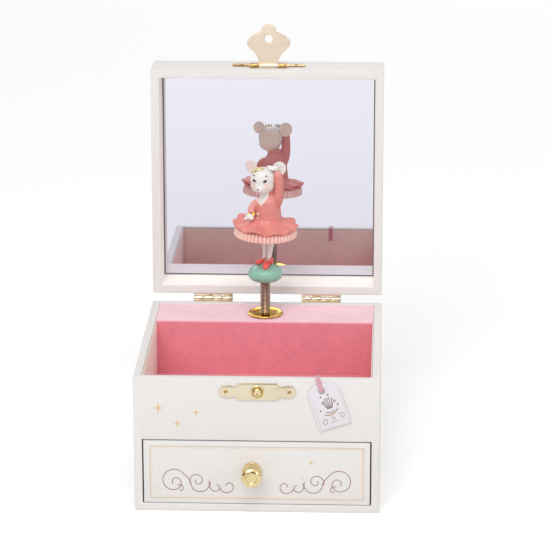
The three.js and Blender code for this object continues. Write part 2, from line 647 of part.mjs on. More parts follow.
function buildClasp() {
  const plateShape = hole(claspPlateShape(), 0, 0, STUD_SHANK + GLUE);
  const plateBack = FRONT - GLUE / 2;
  const strike = standingPlate(plateShape, CLASP_SHEET, 6).translate(CLASP_X, plateBack, STUD_Z);
  add(musicBox, 'latch_plate', 'paleBrass', strike);
  const seat = CLASP_SHEET + GLUE;
  const stud = turned([
    [0, -STUD_SHANK * 2], [STUD_SHANK, -STUD_SHANK * 2], [STUD_SHANK, seat], [STUD_RING, seat],
    [STUD_RING - GLUE, seat + STUD_WASHER], [STUD_RADIUS, seat + STUD_WASHER],
    [STUD_RADIUS, STUD_LENGTH * 0.75], [STUD_RADIUS * 0.7, STUD_LENGTH * 0.94], [0, STUD_LENGTH],
  ], SMALL_ROUND);
  stud.rotateX(Math.PI / 2).translate(CLASP_X, FRONT, STUD_Z);
  add(musicBox, 'latch_stud', 'paleBrass', stud);

  const halfNeck = HASP_NECK / 2;
  const outer = halfNeck + HASP_KNUCKLE;
  const leafBack = LID_FRONT - HASP_Y - GLUE / 2;
  const sheetFoot = HASP_BARREL - CLASP_SHEET;
  const leafPieces = [standingPlate(haspLeafShape(outer), CLASP_SHEET).translate(0, leafBack, 0)];
  for (const side of [-1, 1]) {
    const span = inOrder(side * (halfNeck + RUNNING_GAP), side * outer);
    leafPieces.push(alongX(rod(HASP_BARREL, span[0], span[1], SMALL_ROUND)));
    leafPieces.push(box(span, [0, leafBack], [sheetFoot, HASP_BARREL]));
  }
  const pinHole = alongX(rod(HASP_PIN + GLUE, -outer - CUT, outer + CUT, TINY_ROUND));
  const hinge = group(lid, CLASP_X, HASP_Y, HASP_Z);
  add(hinge, 'hasp_leaf', 'paleBrass', cut(join(...leafPieces), pinHole));
  add(hinge, 'hasp_pin', 'paleBrass', alongX(rod(HASP_PIN, -outer, outer, TINY_ROUND)));

  const flapPivot = group(hinge, 0, 0, 0);
  flapPivot.rotation.x = -Math.PI / 2;
  const knuckle = alongX(rod(HASP_BARREL, -halfNeck, halfNeck, SMALL_ROUND));
  const sheet = standingPlate(flapShape(), CLASP_SHEET).rotateY(Math.PI);
  const flap = join(knuckle, sheet.translate(0, -sheetFoot, 0));
  add(flapPivot, 'hasp_flap', 'paleBrass', cut(flap, pinHole));
}

// The leaf on the lid: two round-cornered wings and a notch for the flap's knuckle.
function haspLeafShape(outer) {
  const foot = HASP_BARREL - CLASP_SHEET;
  const low = HASP_BARREL * 2;
  const top = low + HASP_LEAF_HEIGHT;
  const notch = HASP_NECK / 2 + RUNNING_GAP;
  const wing = HASP_LEAF_WIDTH / 2;
  const bevel = HASP_LEAF_BEVEL;
  const half = [
    [notch, low], [notch, foot], [outer, foot], [outer + bevel, low], [wing - bevel, low],
    [wing, low + bevel], [wing, top - 2 * bevel], [wing - bevel, top - bevel], [outer, top - bevel],
    [outer - bevel, top],
  ];
  return shapeOf([...half, ...half.map(([x, y]) => [-x, y]).reverse()]);
}

// ------------------------------------------------------------------ dancer
const doll = group(musicBox, 0, DOLL_Y, 0);

// A turned frill whose rim rises and falls in folds that die out towards its inner edge.
function frill(profile, folds, lift, flare) {
  const geometry = turned(profile, folds * FOLD_STEPS);
  const place = geometry.attributes.position;
  const inner = Math.min(...profile.map(([radius]) => radius));
  const outer = Math.max(...profile.map(([radius]) => radius));
  for (let i = 0; i < place.count; i += 1) {
    const [x, y] = [place.getX(i), place.getY(i)];
    const radius = Math.hypot(x, y);
    const share = ((radius - inner) / (outer - inner)) ** 2;
    const fold = Math.cos(folds * Math.atan2(y, x));
    const grow = 1 + (flare * share * fold) / radius;
    place.setXYZ(i, x * grow, y * grow, place.getZ(i) + lift * share * fold);
  }
  return geometry;
}

function domeProfile(grow) {
  const belly = DOME_HEIGHT * DOME_BELLY;
  const profile = [[0, -grow], [DOME_FOOT, -grow]];
  const steps = 5;
  for (let i = 1; i <= steps; i += 1) {
    const turn = (i / steps) * (Math.PI / 2);
    const radius = DOME_FOOT + (DOME_RADIUS - DOME_FOOT) * Math.sin(turn);
    profile.push([radius + grow, belly * (1 - Math.cos(turn))]);
  }
  for (let i = 1; i <= steps; i += 1) {
    const turn = (i / steps) * (Math.PI / 2);
    const radius = (DOME_RADIUS + grow) * Math.cos(turn);
    profile.push([radius, belly + (DOME_HEIGHT - belly + grow) * Math.sin(turn)]);
  }
  profile[profile.length - 1][0] = 0;
  return profile;
}

function buildDoll() {
  const cupBore = SPINDLE_RADIUS + GLUE;
  const section = CUP_OUTLINE.map(([out, up]) => [out * CUP_RADIUS, CUP_Z + up * CUP_HEIGHT]);
  const floor = CUP_Z + CUP_HEIGHT * CUP_FLOOR;
  const cup = turned([[cupBore, CUP_Z], ...section, [cupBore, floor], [cupBore, CUP_Z]]);
  add(doll, 'spring_cup', 'brass', cup);

  const rise = SPRING_LENGTH - SPRING_WIRE;
  const turns = Math.floor(rise / SPRING_PITCH);
  const coilRadius = SPRING_RADIUS - SPRING_WIRE / 2;
  const steps = turns * COIL_STEPS;
  const points = [];
  for (let i = 0; i <= steps; i += 1) {
    const turn = (i / COIL_STEPS) * 2 * Math.PI;
    const height = SPRING_Z + SPRING_WIRE / 2 + (rise * i) / steps;
    points.push([coilRadius * Math.cos(turn), coilRadius * Math.sin(turn), height]);
  }
  add(doll, 'doll_spring', 'steel', coil(points, SPRING_WIRE / 2));

  const peg = rod(SPRING_CORE, DOME_Z - PEG_LENGTH, DOME_Z + CUT, TINY_ROUND);
  const dome = turned(domeProfile(0)).translate(0, 0, DOME_Z);
  add(doll, 'dome_base', 'teal', join(dome, peg));
  buildDancer();
}

// Square wire wound along a list of points about Z.
function coil(points, half) {
  const corners = [[-half, -half], [half, -half], [half, half], [-half, half]];
  const vertices = [];
  const index = [];
  for (const [x, y, z] of points) {
    const radius = Math.hypot(x, y);
    for (const [out, up] of corners) {
      vertices.push((x * (radius + out)) / radius, (y * (radius + out)) / radius, z + up);
    }
  }
  for (let i = 0; i + 1 < points.length; i += 1) {
    for (let side = 0; side < 4; side += 1) {
      const [a, b] = [4 * i + side, 4 * i + ((side + 1) % 4)];
      index.push(a, b, b + 4, a, b + 4, a + 4);
    }
  }
  const last = 4 * (points.length - 1);
  index.push(0, 2, 1, 0, 3, 2, last, last + 1, last + 2, last, last + 2, last + 3);
  const geometry = new THREE.BufferGeometry();
  geometry.setAttribute('position', new THREE.Float32BufferAttribute(vertices, 3));
  geometry.setIndex(index);
  return geometry;
}

// The cast dancer: shoes, legs, petticoat, skirt, bodice, arms and a mouse's head.
function buildDancer() {
  const scale = DANCER_HEIGHT / FIGURE;
  const part = (geometry, at = [0, 0, 0]) => geometry.translate(...at)
    .scale(scale, scale, scale).translate(0, 0, DANCER_Z);
  const ofRadius = (radius) => ([out, height]) => [(out * radius) / scale, height];
  const round = (at, radii, sides = TINY_ROUND) => part(ball(at, radii, sides));
  const [head, ear] = [HEAD_RADIUS / scale, EAR_RADIUS / scale];

  const petticoat = frill(closedUp(PETTICOAT_OUTLINE.map(ofRadius(PETTICOAT_RADIUS))), PLEATS, 0.1, 0.35);
  const skirt = frill(closedUp(SKIRT_OUTLINE.map(ofRadius(SKIRT_RADIUS))), SKIRT_FOLDS, 1, 0.7);
  skirt.rotateX(radians(SKIRT_LEAN[0])).rotateY(radians(SKIRT_LEAN[1]));
  const bodice = turned(BODICE_OUTLINE, SMALL_ROUND).scale(1, BODICE_DEPTH, 1);
  const pieces = [
    part(petticoat, [0, 0, PETTICOAT_HEM]),
    part(skirt, [0, 0, SKIRT_RIM]),
    part(rod(3, PETTICOAT_HEM + 3, SKIRT_RIM + 3)),
    part(bodice, WAIST),
    round(HEAD, [head, head * 1.04, head * 1.2], SMALL_ROUND),
    round(MUZZLE, [2.6, 2.2, 2.1]),
    ...EARS.map((at) => round(at, [ear, ear * 0.4, ear])),
    part(tube(RAISED_ARM, ARM_RADII[0], 6)),
    part(tube(LOWERED_ARM, ARM_RADII[1], 6)),
    round(RAISED_ARM.at(-1), [2.1, 2.1, 2.1]),
    round(RAISED_HAND, HAND),
    round(LOWERED_HAND, HAND),
    ...LEGS.map(({ hip, ankle, radii }) => part(limb(hip, ankle, ...radii))),
    ...SHOES.map(({ at, size }) => round(at, size)),
  ];
  const seat = turned(domeProfile(RUNNING_GAP)).translate(0, 0, DOME_Z);
  add(doll, 'dancer', 'coral', cut(join(...pieces), seat));
}

function closedUp(profile) {
  return [...profile, profile[0]];
}

// ------------------------------------------------------------------ hang tag
// The ribbon is doubled through the tag's hole, folded over the rim and glued inside the well.
function buildTag() {
  const ribbonX = [-RIBBON_WIDTH / 2, RIBBON_WIDTH / 2];
  const gap = GLUE / 2;
  const backStrand = [-gap - RIBBON, -gap];
  const cardY = [backStrand[0] - gap - TAG_CARD, backStrand[0] - gap];
  const frontStrand = [cardY[0] - gap - RIBBON, cardY[0] - gap];
  const fold = [-RIBBON_DROP - RIBBON, -RIBBON_DROP];
  const hang = group(musicBox, TAG_X, FRONT, BASE_HEIGHT);
  hang.rotation.y = -radians(TAG_TILT);
  const overRim = RIBBON + gap;
  const strands = [
    box(ribbonX, backStrand, [fold[0], overRim]),
    box(ribbonX, frontStrand, [fold[0], -RIBBON_JOIN]),
    box(ribbonX, [frontStrand[0], backStrand[1]], fold),
    box(ribbonX, [frontStrand[0], backStrand[0] + gap], [-RIBBON_JOIN - RIBBON, -RIBBON_JOIN]),
  ];
  const top = join(...strands);
  const tilted = new THREE.Matrix4().makeRotationY(-radians(TAG_TILT));
  top.applyMatrix4(tilted);
  const insideY = WALL + LINING + GLUE;
  const straight = [
    box([ribbonX[0] - GLUE, ribbonX[1] + GLUE], [-gap - RIBBON, insideY + RIBBON], [gap, overRim]),
    box(ribbonX, [insideY, insideY + RIBBON], [-RIBBON_TAIL, overRim]),
  ];
  const ribbon = join(top, ...straight).translate(TAG_X, FRONT, BASE_HEIGHT);
  add(musicBox, 'ribbon', 'ribbon', ribbon);

  const half = TAG_WIDTH / 2;
  const corner = TAG_CORNER;
  const bend = corner * 0.35;
  const crown = TAG_HOLE + TAG_CROWN;
  const tagShape = new THREE.Shape();
  tagShape.moveTo(-half, -TAG_HEIGHT);
  tagShape.lineTo(half, -TAG_HEIGHT);
  tagShape.lineTo(half, -corner);
  tagShape.quadraticCurveTo(half - bend, -bend, half - corner, 0);
  tagShape.lineTo(-half + corner, 0);
  tagShape.quadraticCurveTo(-half + bend, -bend, -half, -corner);
  hole(tagShape, -TAG_OFFSET, -crown, TAG_HOLE);
  const card = standingPlate(tagShape, TAG_CARD, 4);
  card.translate(TAG_OFFSET, cardY[1], crown - RIBBON_DROP);
  add(hang, 'hang_tag', 'card', card);
}

// ------------------------------------------------------------------ movement
function buildBedplate() {
  const left = BEDPLATE_X - BEDPLATE_WIDTH / 2;
  const top = LEDGE_UNDER - GLUE;
  const bottom = WALL + BEDPLATE_FOOT;
  const sheet = box([left, left + BEDPLATE_WIDTH], [BED_FACE, BED_FACE + BEDPLATE], [bottom, top]);
  const combLeft = combBaseX();
  const firstNote = CYLINDER_Z + NOTE_PITCH / 2;
  const combSpan = [firstNote - NOTE_PITCH, firstNote + NOTE_PITCH * NOTES];
  const combSeat = box([combLeft, combLeft + COMB_BASE],
    [DOLL_Y + COMB_THICKNESS / 2 + GLUE / 2, BED_FACE + CUT], combSpan);
  const sole = PINION_Z - BEARING_LEAF - BEARING_ARM;
  const post = -BARREL_RADIUS - RUNNING_GAP - ARM_WIDTH;
  const armReach = [DOLL_Y - ARM_WIDTH / 2, BED_FACE + CUT];
  const lowerPost = box([post, post + ARM_WIDTH], armReach, [sole, sole + BEARING_ARM]);
  const barRun = [DOLL_Y - ARM_WIDTH / 2, DOLL_Y + ARM_WIDTH / 2];
  const lowerBar = box([post, ARM_WIDTH * 0.6], barRun, [sole, sole + BEARING_ARM]);
  const flyArm = [FLY_X - ARM_WIDTH / 2, FLY_X + ARM_WIDTH / 3];
  const flyReach = [DOLL_Y - ARM_WIDTH / 2, BED_FACE + CUT];
  const flyFoot = box(flyArm, flyReach, [CYLINDER_TOP + RUNNING_GAP, FLY_GEAR_Z - RUNNING_GAP]);
  const flyCap = box(flyArm, flyReach, [top - BEARING_LEAF, top]);
  const spindleHole = rod(SPINDLE_RADIUS + GLUE, sole - CUT, sole + BEARING_ARM + CUT);
  spindleHole.translate(0, DOLL_Y, 0);
  const flyHole = rod(FLY_ARBOR + GLUE, CYLINDER_TOP, top - GLUE, TINY_ROUND);
  flyHole.translate(FLY_X, DOLL_Y, 0);
  const arborHole = bore(ARBOR_RADIUS + GLUE, BEDPLATE, 0, BED_FACE, BARREL_Z);
  const screwX = combLeft + COMB_BASE / 2;
  const screwHoles = combScrewHeights().map(
    (z) => bore(COMB_SCREW + GLUE, COMB_SCREW_LENGTH, screwX, DOLL_Y + COMB_THICKNESS, z),
  );
  const casting = join(sheet, combSeat, lowerPost, lowerBar, flyFoot, flyCap);
  add(musicBox, 'bedplate', 'casting', cut(casting, spindleHole, flyHole, arborHole, ...screwHoles));
}

function combTipX() {
  return CYLINDER_RADIUS + PIN_HEIGHT + RUNNING_GAP;
}

function combBaseX() {
  return combTipX() + LONG_TOOTH;
}

function combScrewHeights() {
  const span = NOTES * NOTE_PITCH;
  return [CYLINDER_Z + span * 0.22, CYLINDER_Z + span * 0.78];
}

// One steel plate, slotted into teeth that shorten from the bass to the treble note.
function buildComb() {
  const tip = combTipX();
  const base = combBaseX();
  const first = CYLINDER_Z + NOTE_PITCH / 2;
  const [foot, head] = [first - NOTE_PITCH, first + NOTE_PITCH * NOTES];
  const points = [[base + COMB_BASE, foot], [base + COMB_BASE, head], [base, head]];
  for (let note = NOTES - 1; note >= 0; note -= 1) {
    const middle = first + note * NOTE_PITCH;
    const root = tip + LONG_TOOTH + ((SHORT_TOOTH - LONG_TOOTH) * note) / (NOTES - 1);
    points.push([root, middle + TOOTH_WIDTH / 2], [tip, middle + TOOTH_WIDTH / 4]);
    points.push([tip, middle - TOOTH_WIDTH / 4], [root, middle - TOOTH_WIDTH / 2]);
  }
  points.push([base, foot]);
  const shape = shapeOf(points);
  const screwX = base + COMB_BASE / 2;
  for (const z of combScrewHeights()) {
    hole(shape, screwX, z, COMB_SCREW + GLUE);
  }
  const front = DOLL_Y - COMB_THICKNESS / 2;
  const comb = standingPlate(shape, COMB_THICKNESS, 4).translate(0, front + COMB_THICKNESS, 0);
  add(musicBox, 'comb', 'steel', comb);
  combScrewHeights().forEach((z, i) => {
    const screw = turned([
      [0, -COMB_SCREW - GLUE], [COMB_SCREW_HEAD * 0.8, -COMB_SCREW - GLUE],
      [COMB_SCREW_HEAD, -GLUE / 2], [COMB_SCREW, -GLUE / 2], [COMB_SCREW, COMB_SCREW_LENGTH],
      [0, COMB_SCREW_LENGTH],
    ], TINY_ROUND);
    add(musicBox, `comb_screw_${i + 1}`, 'steel', alongY(screw).translate(screwX, front, z));
  });
}

function buildBarrel() {
  const drumBack = CROWN_ROOT + BARREL_DEPTH;
  const bore = ARBOR_RADIUS + RUNNING_GAP / 2;
  const drum = turned([
    [bore, CROWN_ROOT], [BARREL_RADIUS, CROWN_ROOT], [BARREL_RADIUS, drumBack],
    [BARREL_RADIUS - BARREL_WALL, drumBack], [BARREL_RADIUS - BARREL_WALL, CROWN_ROOT + BARREL_WALL],
    [bore, CROWN_ROOT + BARREL_WALL], [bore, CROWN_ROOT],
  ]);
  const barrel = [alongY(drum).translate(0, 0, BARREL_Z)];
  const tipY = CROWN_PLANE - GEAR_MODULE * 0.85;
  const pitchLength = (2 * Math.PI * CROWN_PITCH) / CROWN_TEETH;
  const toothShape = shapeOf([
    [-pitchLength * 0.24, CROWN_ROOT + 0.3], [pitchLength * 0.24, CROWN_ROOT + 0.3],
    [pitchLength * 0.1, tipY], [-pitchLength * 0.1, tipY],
  ]);
  for (let tooth = 0; tooth < CROWN_TEETH; tooth += 1) {
    const single = plate(toothShape, CROWN_FACE).translate(0, 0, CROWN_PITCH - CROWN_FACE / 2);
    barrel.push(single.rotateY((2 * Math.PI * tooth) / CROWN_TEETH).translate(0, 0, BARREL_Z));
  }
  add(musicBox, 'spring_barrel', 'brass', join(...barrel));

  const springFront = CROWN_ROOT + BARREL_WALL + RUNNING_GAP;
  const springWidth = drumBack - springFront - RUNNING_GAP;
  const startRadius = ARBOR_RADIUS + 2 * RUNNING_GAP + MAINSPRING / 2;
  const endRadius = BARREL_RADIUS - BARREL_WALL - GLUE - MAINSPRING / 2;
  const strip = (offset) => {
    const side = [];
    const steps = SPRING_TURNS * SMALL_ROUND;
    for (let i = 0; i <= steps; i += 1) {
      const share = i / steps;
      const radius = startRadius + (endRadius - startRadius) * share + offset;
      const angle = share * SPRING_TURNS * 2 * Math.PI;
      side.push([radius * Math.cos(angle), radius * Math.sin(angle)]);
    }
    return side;
  };
  const outline = shapeOf([...strip(MAINSPRING / 2), ...strip(-MAINSPRING / 2).reverse()]);
  const mainspring = standingPlate(outline, springWidth).translate(0, springFront + springWidth, BARREL_Z);
  add(musicBox, 'mainspring', 'steel', mainspring);

  const arbor = alongY(rod(ARBOR_RADIUS, CROWN_PLANE, BACK + KEY_STANDOFF + KEY_DEPTH / 3));
  add(musicBox, 'winding_arbor', 'steel', arbor.translate(0, 0, BARREL_Z));
}

// A butterfly key: a hub on the arbor's square and two pierced round wings.
function buildKey() {
  const wing = KEY_SPAN / 4;
  const wings = new THREE.Shape();
  wings.moveTo(-wing, 0);
  wings.lineTo(wing, 0);
  wings.absarc(wing, KEY_DEPTH / 2, wing, -Math.PI / 2, Math.PI / 2);
  wings.quadraticCurveTo(0, KEY_DEPTH * 0.55, -wing, KEY_DEPTH / 2 + wing);
  wings.absarc(-wing, KEY_DEPTH / 2, wing, Math.PI / 2, 1.5 * Math.PI);
  hole(wings, wing * 1.1, KEY_DEPTH / 2, wing * 0.45);
  hole(wings, -wing * 1.1, KEY_DEPTH / 2, wing * 0.45);
  const start = BACK + KEY_STANDOFF;
  const blade = plate(wings, KEY_THICKNESS, 6).translate(0, start, -KEY_THICKNESS / 2);
  const hub = alongY(rod(KEY_HUB, BACK + 1, start + KEY_DEPTH * 0.55));
  const socket = alongY(rod(ARBOR_RADIUS + GLUE / 2, BACK, start + KEY_DEPTH / 3 + GLUE));
  add(musicBox, 'winding_key', 'brass', cut(join(blade, hub), socket).translate(0, 0, BARREL_Z));
}

function buildCylinder() {
  const bore = SPINDLE_RADIUS + GLUE / 2;
  const barrel = [ring(bore, CYLINDER_RADIUS, CYLINDER_Z, CYLINDER_TOP, ROUND)];
  for (let note = 0; note < NOTES; note += 1) {
    for (let k = 0; k < PINS_PER_NOTE; k += 1) {
      const angle = 10 + note * 137.5 + (k * 360) / PINS_PER_NOTE + k * k * 11;
      const pin = rod(PIN_RADIUS, CYLINDER_RADIUS - PIN_ROOT, CYLINDER_RADIUS + PIN_HEIGHT, 4);
      const height = CYLINDER_Z + NOTE_PITCH / 2 + note * NOTE_PITCH;
      barrel.push(alongX(pin).rotateZ(radians(angle)).translate(0, 0, height));
    }
  }
  add(doll, 'pin_cylinder', 'brass', join(...barrel));
  const pinion = hole(gearShape(PINION_TEETH, GEAR_MODULE, 0.5), 0, 0, bore);
  const wheel = plate(pinion, PINION_HEIGHT).rotateZ(Math.PI / 2).translate(0, 0, PINION_Z);
  add(doll, 'drive_pinion', 'brass', wheel);
  const gear = hole(gearShape(FLY_GEAR_TEETH, FLY_MODULE), 0, 0, bore);
  add(doll, 'fly_gear', 'brass', plate(gear, FLY_GEAR).translate(0, 0, FLY_GEAR_Z));
  const spindleFoot = PINION_Z - BEARING_LEAF - BEARING_ARM;
  const spindleTop = SPRING_Z + PEG_LENGTH;
  add(doll, 'spindle', 'steel', rod(SPINDLE_RADIUS, spindleFoot, spindleTop));
  const bush = turned([
    [SPINDLE_RADIUS + GLUE, LEDGE_UNDER], [BUSH_RADIUS, LEDGE_UNDER],
    [BUSH_RADIUS, LEDGE_TOP - LINING + GLUE / 2], [BUSH_FLANGE, LEDGE_TOP - LINING + GLUE / 2],
    [BUSH_FLANGE, LEDGE_TOP], [SPINDLE_RADIUS + GLUE, LEDGE_TOP], [SPINDLE_RADIUS + GLUE, LEDGE_UNDER],
  ], SMALL_ROUND);
  add(doll, 'spindle_bush', 'brass', bush);
}

// The air brake that keeps the tempo: a pinion and two blades on one arbor.
function buildFly() {
  const pinion = plate(gearShape(FLY_PINION_TEETH, FLY_MODULE, 0.5), FLY_GEAR).translate(0, 0, FLY_GEAR_Z);
  const foot = CYLINDER_TOP + RUNNING_GAP + GLUE;
  const head = LEDGE_UNDER - GLUE - 2 * GLUE;
  const arbor = rod(FLY_ARBOR, foot, head, TINY_ROUND);
  const bladeZ = FLY_GEAR_Z + FLY_GEAR + RUNNING_GAP;
  const across = [-FLY_RADIUS, FLY_RADIUS];
  const blades = box(across, [-FLY_BLADE / 2, FLY_BLADE / 2], [bladeZ, bladeZ + FLY_HEIGHT]);
  add(group(doll, FLY_X, 0, 0), 'fly', 'brass', join(pinion, arbor, blades));
}

buildCarcass();
buildLinings();
buildDrawer();
buildLid();
buildHinges();
buildClasp();
buildDoll();
buildTag();
buildBedplate();
buildComb();
buildBarrel();
buildKey();
buildCylinder();
buildFly();

export default musicBox;
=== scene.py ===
import json
import math
from collections import namedtuple

import bpy
from mathutils import Matrix, Vector


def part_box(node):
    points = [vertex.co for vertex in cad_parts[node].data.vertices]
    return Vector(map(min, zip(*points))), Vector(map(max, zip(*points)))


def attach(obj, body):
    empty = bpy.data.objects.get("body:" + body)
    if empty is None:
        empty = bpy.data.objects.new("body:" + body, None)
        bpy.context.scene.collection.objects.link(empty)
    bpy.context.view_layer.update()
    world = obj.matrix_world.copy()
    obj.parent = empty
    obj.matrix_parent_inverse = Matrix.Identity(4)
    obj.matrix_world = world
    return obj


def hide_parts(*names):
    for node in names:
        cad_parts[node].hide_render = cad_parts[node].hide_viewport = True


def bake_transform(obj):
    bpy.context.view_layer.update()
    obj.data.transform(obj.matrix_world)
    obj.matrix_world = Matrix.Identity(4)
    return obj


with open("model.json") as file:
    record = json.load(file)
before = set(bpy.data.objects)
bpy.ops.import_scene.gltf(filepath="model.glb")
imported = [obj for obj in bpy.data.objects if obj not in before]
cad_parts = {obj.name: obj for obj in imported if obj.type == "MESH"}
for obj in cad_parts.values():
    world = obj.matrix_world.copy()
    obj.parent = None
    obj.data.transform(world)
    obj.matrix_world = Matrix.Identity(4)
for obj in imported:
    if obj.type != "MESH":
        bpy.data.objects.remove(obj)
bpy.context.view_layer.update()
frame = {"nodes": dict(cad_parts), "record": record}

MM = 0.001
LEFT_FACE, RIGHT_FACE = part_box("side_left")[0].x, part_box("side_right")[1].x
FRONT_FACE, BACK_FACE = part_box("front_panel")[0].y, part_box("back_panel")[1].y
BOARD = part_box("side_left")[1].x - LEFT_FACE
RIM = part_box("side_left")[1].z
FRONT, BACK = FRONT_FACE / MM, BACK_FACE / MM
DOLL_AXIS = (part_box("spring_cup")[0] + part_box("spring_cup")[1]) / 2
AXIS_X, AXIS_Y = DOLL_AXIS.x / MM, DOLL_AXIS.y / MM
Spot = namedtuple("Spot", "x y z")


def in_mm(box):
    """A box's low corner, high corner and middle, in millimetres."""
    middle = [(low + high) / 2 for low, high in zip(*box)]
    return [Spot(*(value / MM for value in corner)) for corner in (*box, middle)]


# ---------- camera
CAMERA_PLACE = (0.0578, -1.2385, 0.4863)
CAMERA_TURN = (90 - 17.54, -0.10, 2.39)
CAMERA_LENS = 185.5


def add_camera():
    data = bpy.data.cameras.new("view")
    data.lens = CAMERA_LENS
    data.sensor_width = 36
    camera = bpy.data.objects.new("view", data)
    pitch, roll, yaw = (math.radians(angle) for angle in CAMERA_TURN)
    turn = Matrix.Rotation(yaw, 4, "Z") @ Matrix.Rotation(pitch, 4, "X")
    camera.matrix_world = Matrix.Translation(CAMERA_PLACE) @ turn @ Matrix.Rotation(roll, 4, "Z")
    data.clip_start, data.clip_end = 0.05, 20
    bpy.context.scene.collection.objects.link(camera)
    bpy.context.scene.camera = camera


add_camera()


# ---------- modelling by hand
def clear():
    if bpy.context.object and bpy.context.object.mode != "OBJECT":
        bpy.ops.object.mode_set(mode="OBJECT")
    bpy.ops.object.select_all(action="DESELECT")


def focus(piece):
    clear()
    piece.select_set(True)
    bpy.context.view_layer.objects.active = piece


def settle(piece, name):
    """Puts the object at the origin with its place in its mesh."""
    focus(piece)
    bpy.ops.object.transform_apply(location=True, rotation=True, scale=True)
    piece.name = piece.data.name = name
    return piece


def apply(piece, kind, **settings):
    modifier = piece.modifiers.new(kind, kind)
    for key, value in settings.items():
        setattr(modifier, key, value)
    focus(piece)
    bpy.ops.object.modifier_apply(modifier=modifier.name)
    return piece


def edit(piece, kind="FACE", test=None):
    """Goes into edit mode with what the test accepts selected, or everything."""
    focus(piece)
    bpy.ops.object.mode_set(mode="EDIT")
    bpy.ops.mesh.select_mode(type=kind)
    bpy.ops.mesh.select_all(action="DESELECT" if test else "SELECT")
    if test:
        bpy.ops.object.mode_set(mode="OBJECT")
        for part in piece.data.polygons if kind == "FACE" else piece.data.edges:
            part.select = bool(test(part))
        bpy.ops.object.mode_set(mode="EDIT")


def leave():
    bpy.ops.object.mode_set(mode="OBJECT")


def smooth(piece, angle=35):
    focus(piece)
    bpy.ops.object.shade_smooth_by_angle(angle=math.radians(angle))
    return piece


def soft(piece):
    focus(piece)
    bpy.ops.object.shade_smooth()
    return piece


def outward(piece, merge=0):
    """Merges points that are closer than the merge distance and turns all faces outward."""
    edit(piece)
    if merge:
        bpy.ops.mesh.remove_doubles(threshold=merge)
    bpy.ops.mesh.normals_make_consistent(inside=False)
    leave()
    return piece


def cube(name, low, high):
    low, high = Vector(low), Vector(high)
    clear()
    bpy.ops.mesh.primitive_cube_add(size=1, location=(low + high) / 2, scale=high - low)
    return settle(bpy.context.object, name)


def block(name, low, high, edge):
    piece = cube(name, low, high)
    apply(piece, "BEVEL", width=edge, segments=3, limit_method="ANGLE")
    return smooth(piece)


def cut(piece, tool):
    """Takes the tool's form out of a piece."""
    apply(piece, "BOOLEAN", operation="DIFFERENCE", solver="EXACT", object=tool)
    bpy.data.objects.remove(tool)


def hollow(piece, low, high):
    """Cuts a box out of a piece."""
    cut(piece, cube("cutter", low, high))


def bore(piece, radius, centre, turn=(0, 0, 0)):
    """Cuts a round hole through a piece, about a centre in millimetres."""
    drill = turned("cutter", [(0, -10), (radius, -10), (radius, 10), (0, 10)], 32)
    cut(piece, place(drill, centre, turn))


def turned(name, profile, sides=48):
    """A turned piece about Z through the origin.

    Its profile is a list of (radius, height) in millimetres, bottom first. A radius of 0 closes it
    at a pole, and a profile that ends where it starts closes on itself."""
    rings = [(radius * MM, height * MM) for radius, height in profile]
    bottom_pole = rings[0] if rings[0][0] == 0 else None
    rings = rings[1:] if bottom_pole else rings
    clear()
    bpy.ops.mesh.primitive_circle_add(vertices=sides, radius=rings[0][0], location=(0, 0, rings[0][1]))
    piece = settle(bpy.context.object, name)
    edit(piece, "EDGE")
    for (radius, height), (next_radius, next_height) in zip(rings, rings[1:]):
        rise = (0, 0, next_height - height)
        bpy.ops.mesh.extrude_edges_move(TRANSFORM_OT_translate={"value": rise})
        if next_radius:
            grow = next_radius / radius
            bpy.ops.transform.resize(value=(grow, grow, 1), center_override=(0, 0, next_height))
        else:
            bpy.ops.mesh.merge(type="CENTER")
    leave()
    if bottom_pole:
        edit(piece, "EDGE", lambda part: max(part.vertices) < sides)
        rise = (0, 0, bottom_pole[1] - rings[0][1])
        bpy.ops.mesh.extrude_edges_move(TRANSFORM_OT_translate={"value": rise})
        bpy.ops.mesh.merge(type="CENTER")
        leave()
    return smooth(outward(piece, 1e-7), 50)


def place(piece, move=(0, 0, 0), turn=(0, 0, 0), stretch=(1, 1, 1)):
    """Turns about the origin in degrees, then moves by millimetres."""
    piece.scale = stretch
    piece.rotation_euler = [math.radians(angle) for angle in turn]
    piece.location = Vector(move) * MM
    return settle(piece, piece.name)


def ball(name, centre, radii, turn=(0, 0, 0), segments=32, rings=20):
    clear()
    bpy.ops.mesh.primitive_uv_sphere_add(segments=segments, ring_count=rings, radius=MM)
    bpy.context.object.name = name
    return soft(place(bpy.context.object, centre, turn, radii))


def ring(name, centre, turn, radius, thick, segments):
    """A round ring about Z, turned and put in its place; thick is the radius of its section."""
    clear()
    bpy.ops.mesh.primitive_torus_add(major_radius=radius * MM, minor_radius=thick * MM,
                                     major_segments=40, minor_segments=segments)
    bpy.context.object.name = name
    return smooth(place(bpy.context.object, centre, turn), 60)


def strand(name, lines, width, radii=None, resolution=8):
    """A smooth round line through points in millimetres, made a mesh."""
    curve = bpy.data.curves.new(name, "CURVE")
    curve.dimensions = "3D"
    curve.bevel_depth = width * MM / 2
    curve.bevel_resolution = 3
    curve.use_fill_caps = True
    curve.resolution_u = resolution
    for spots in lines:
        line = curve.splines.new("BEZIER")
        line.bezier_points.add(len(spots) - 1)
        for index, (point, spot) in enumerate(zip(line.bezier_points, spots)):
            point.co = Vector(spot) * MM
            point.handle_left_type = point.handle_right_type = "AUTO"
            point.radius = radii[index] if radii else 1
    piece = bpy.data.objects.new(name, curve)
    bpy.context.scene.collection.objects.link(piece)
    focus(piece)
    bpy.ops.object.convert(target="MESH")
    piece = outward(bpy.context.object, 1e-8)
    piece.name = piece.data.name = name
    return soft(piece)


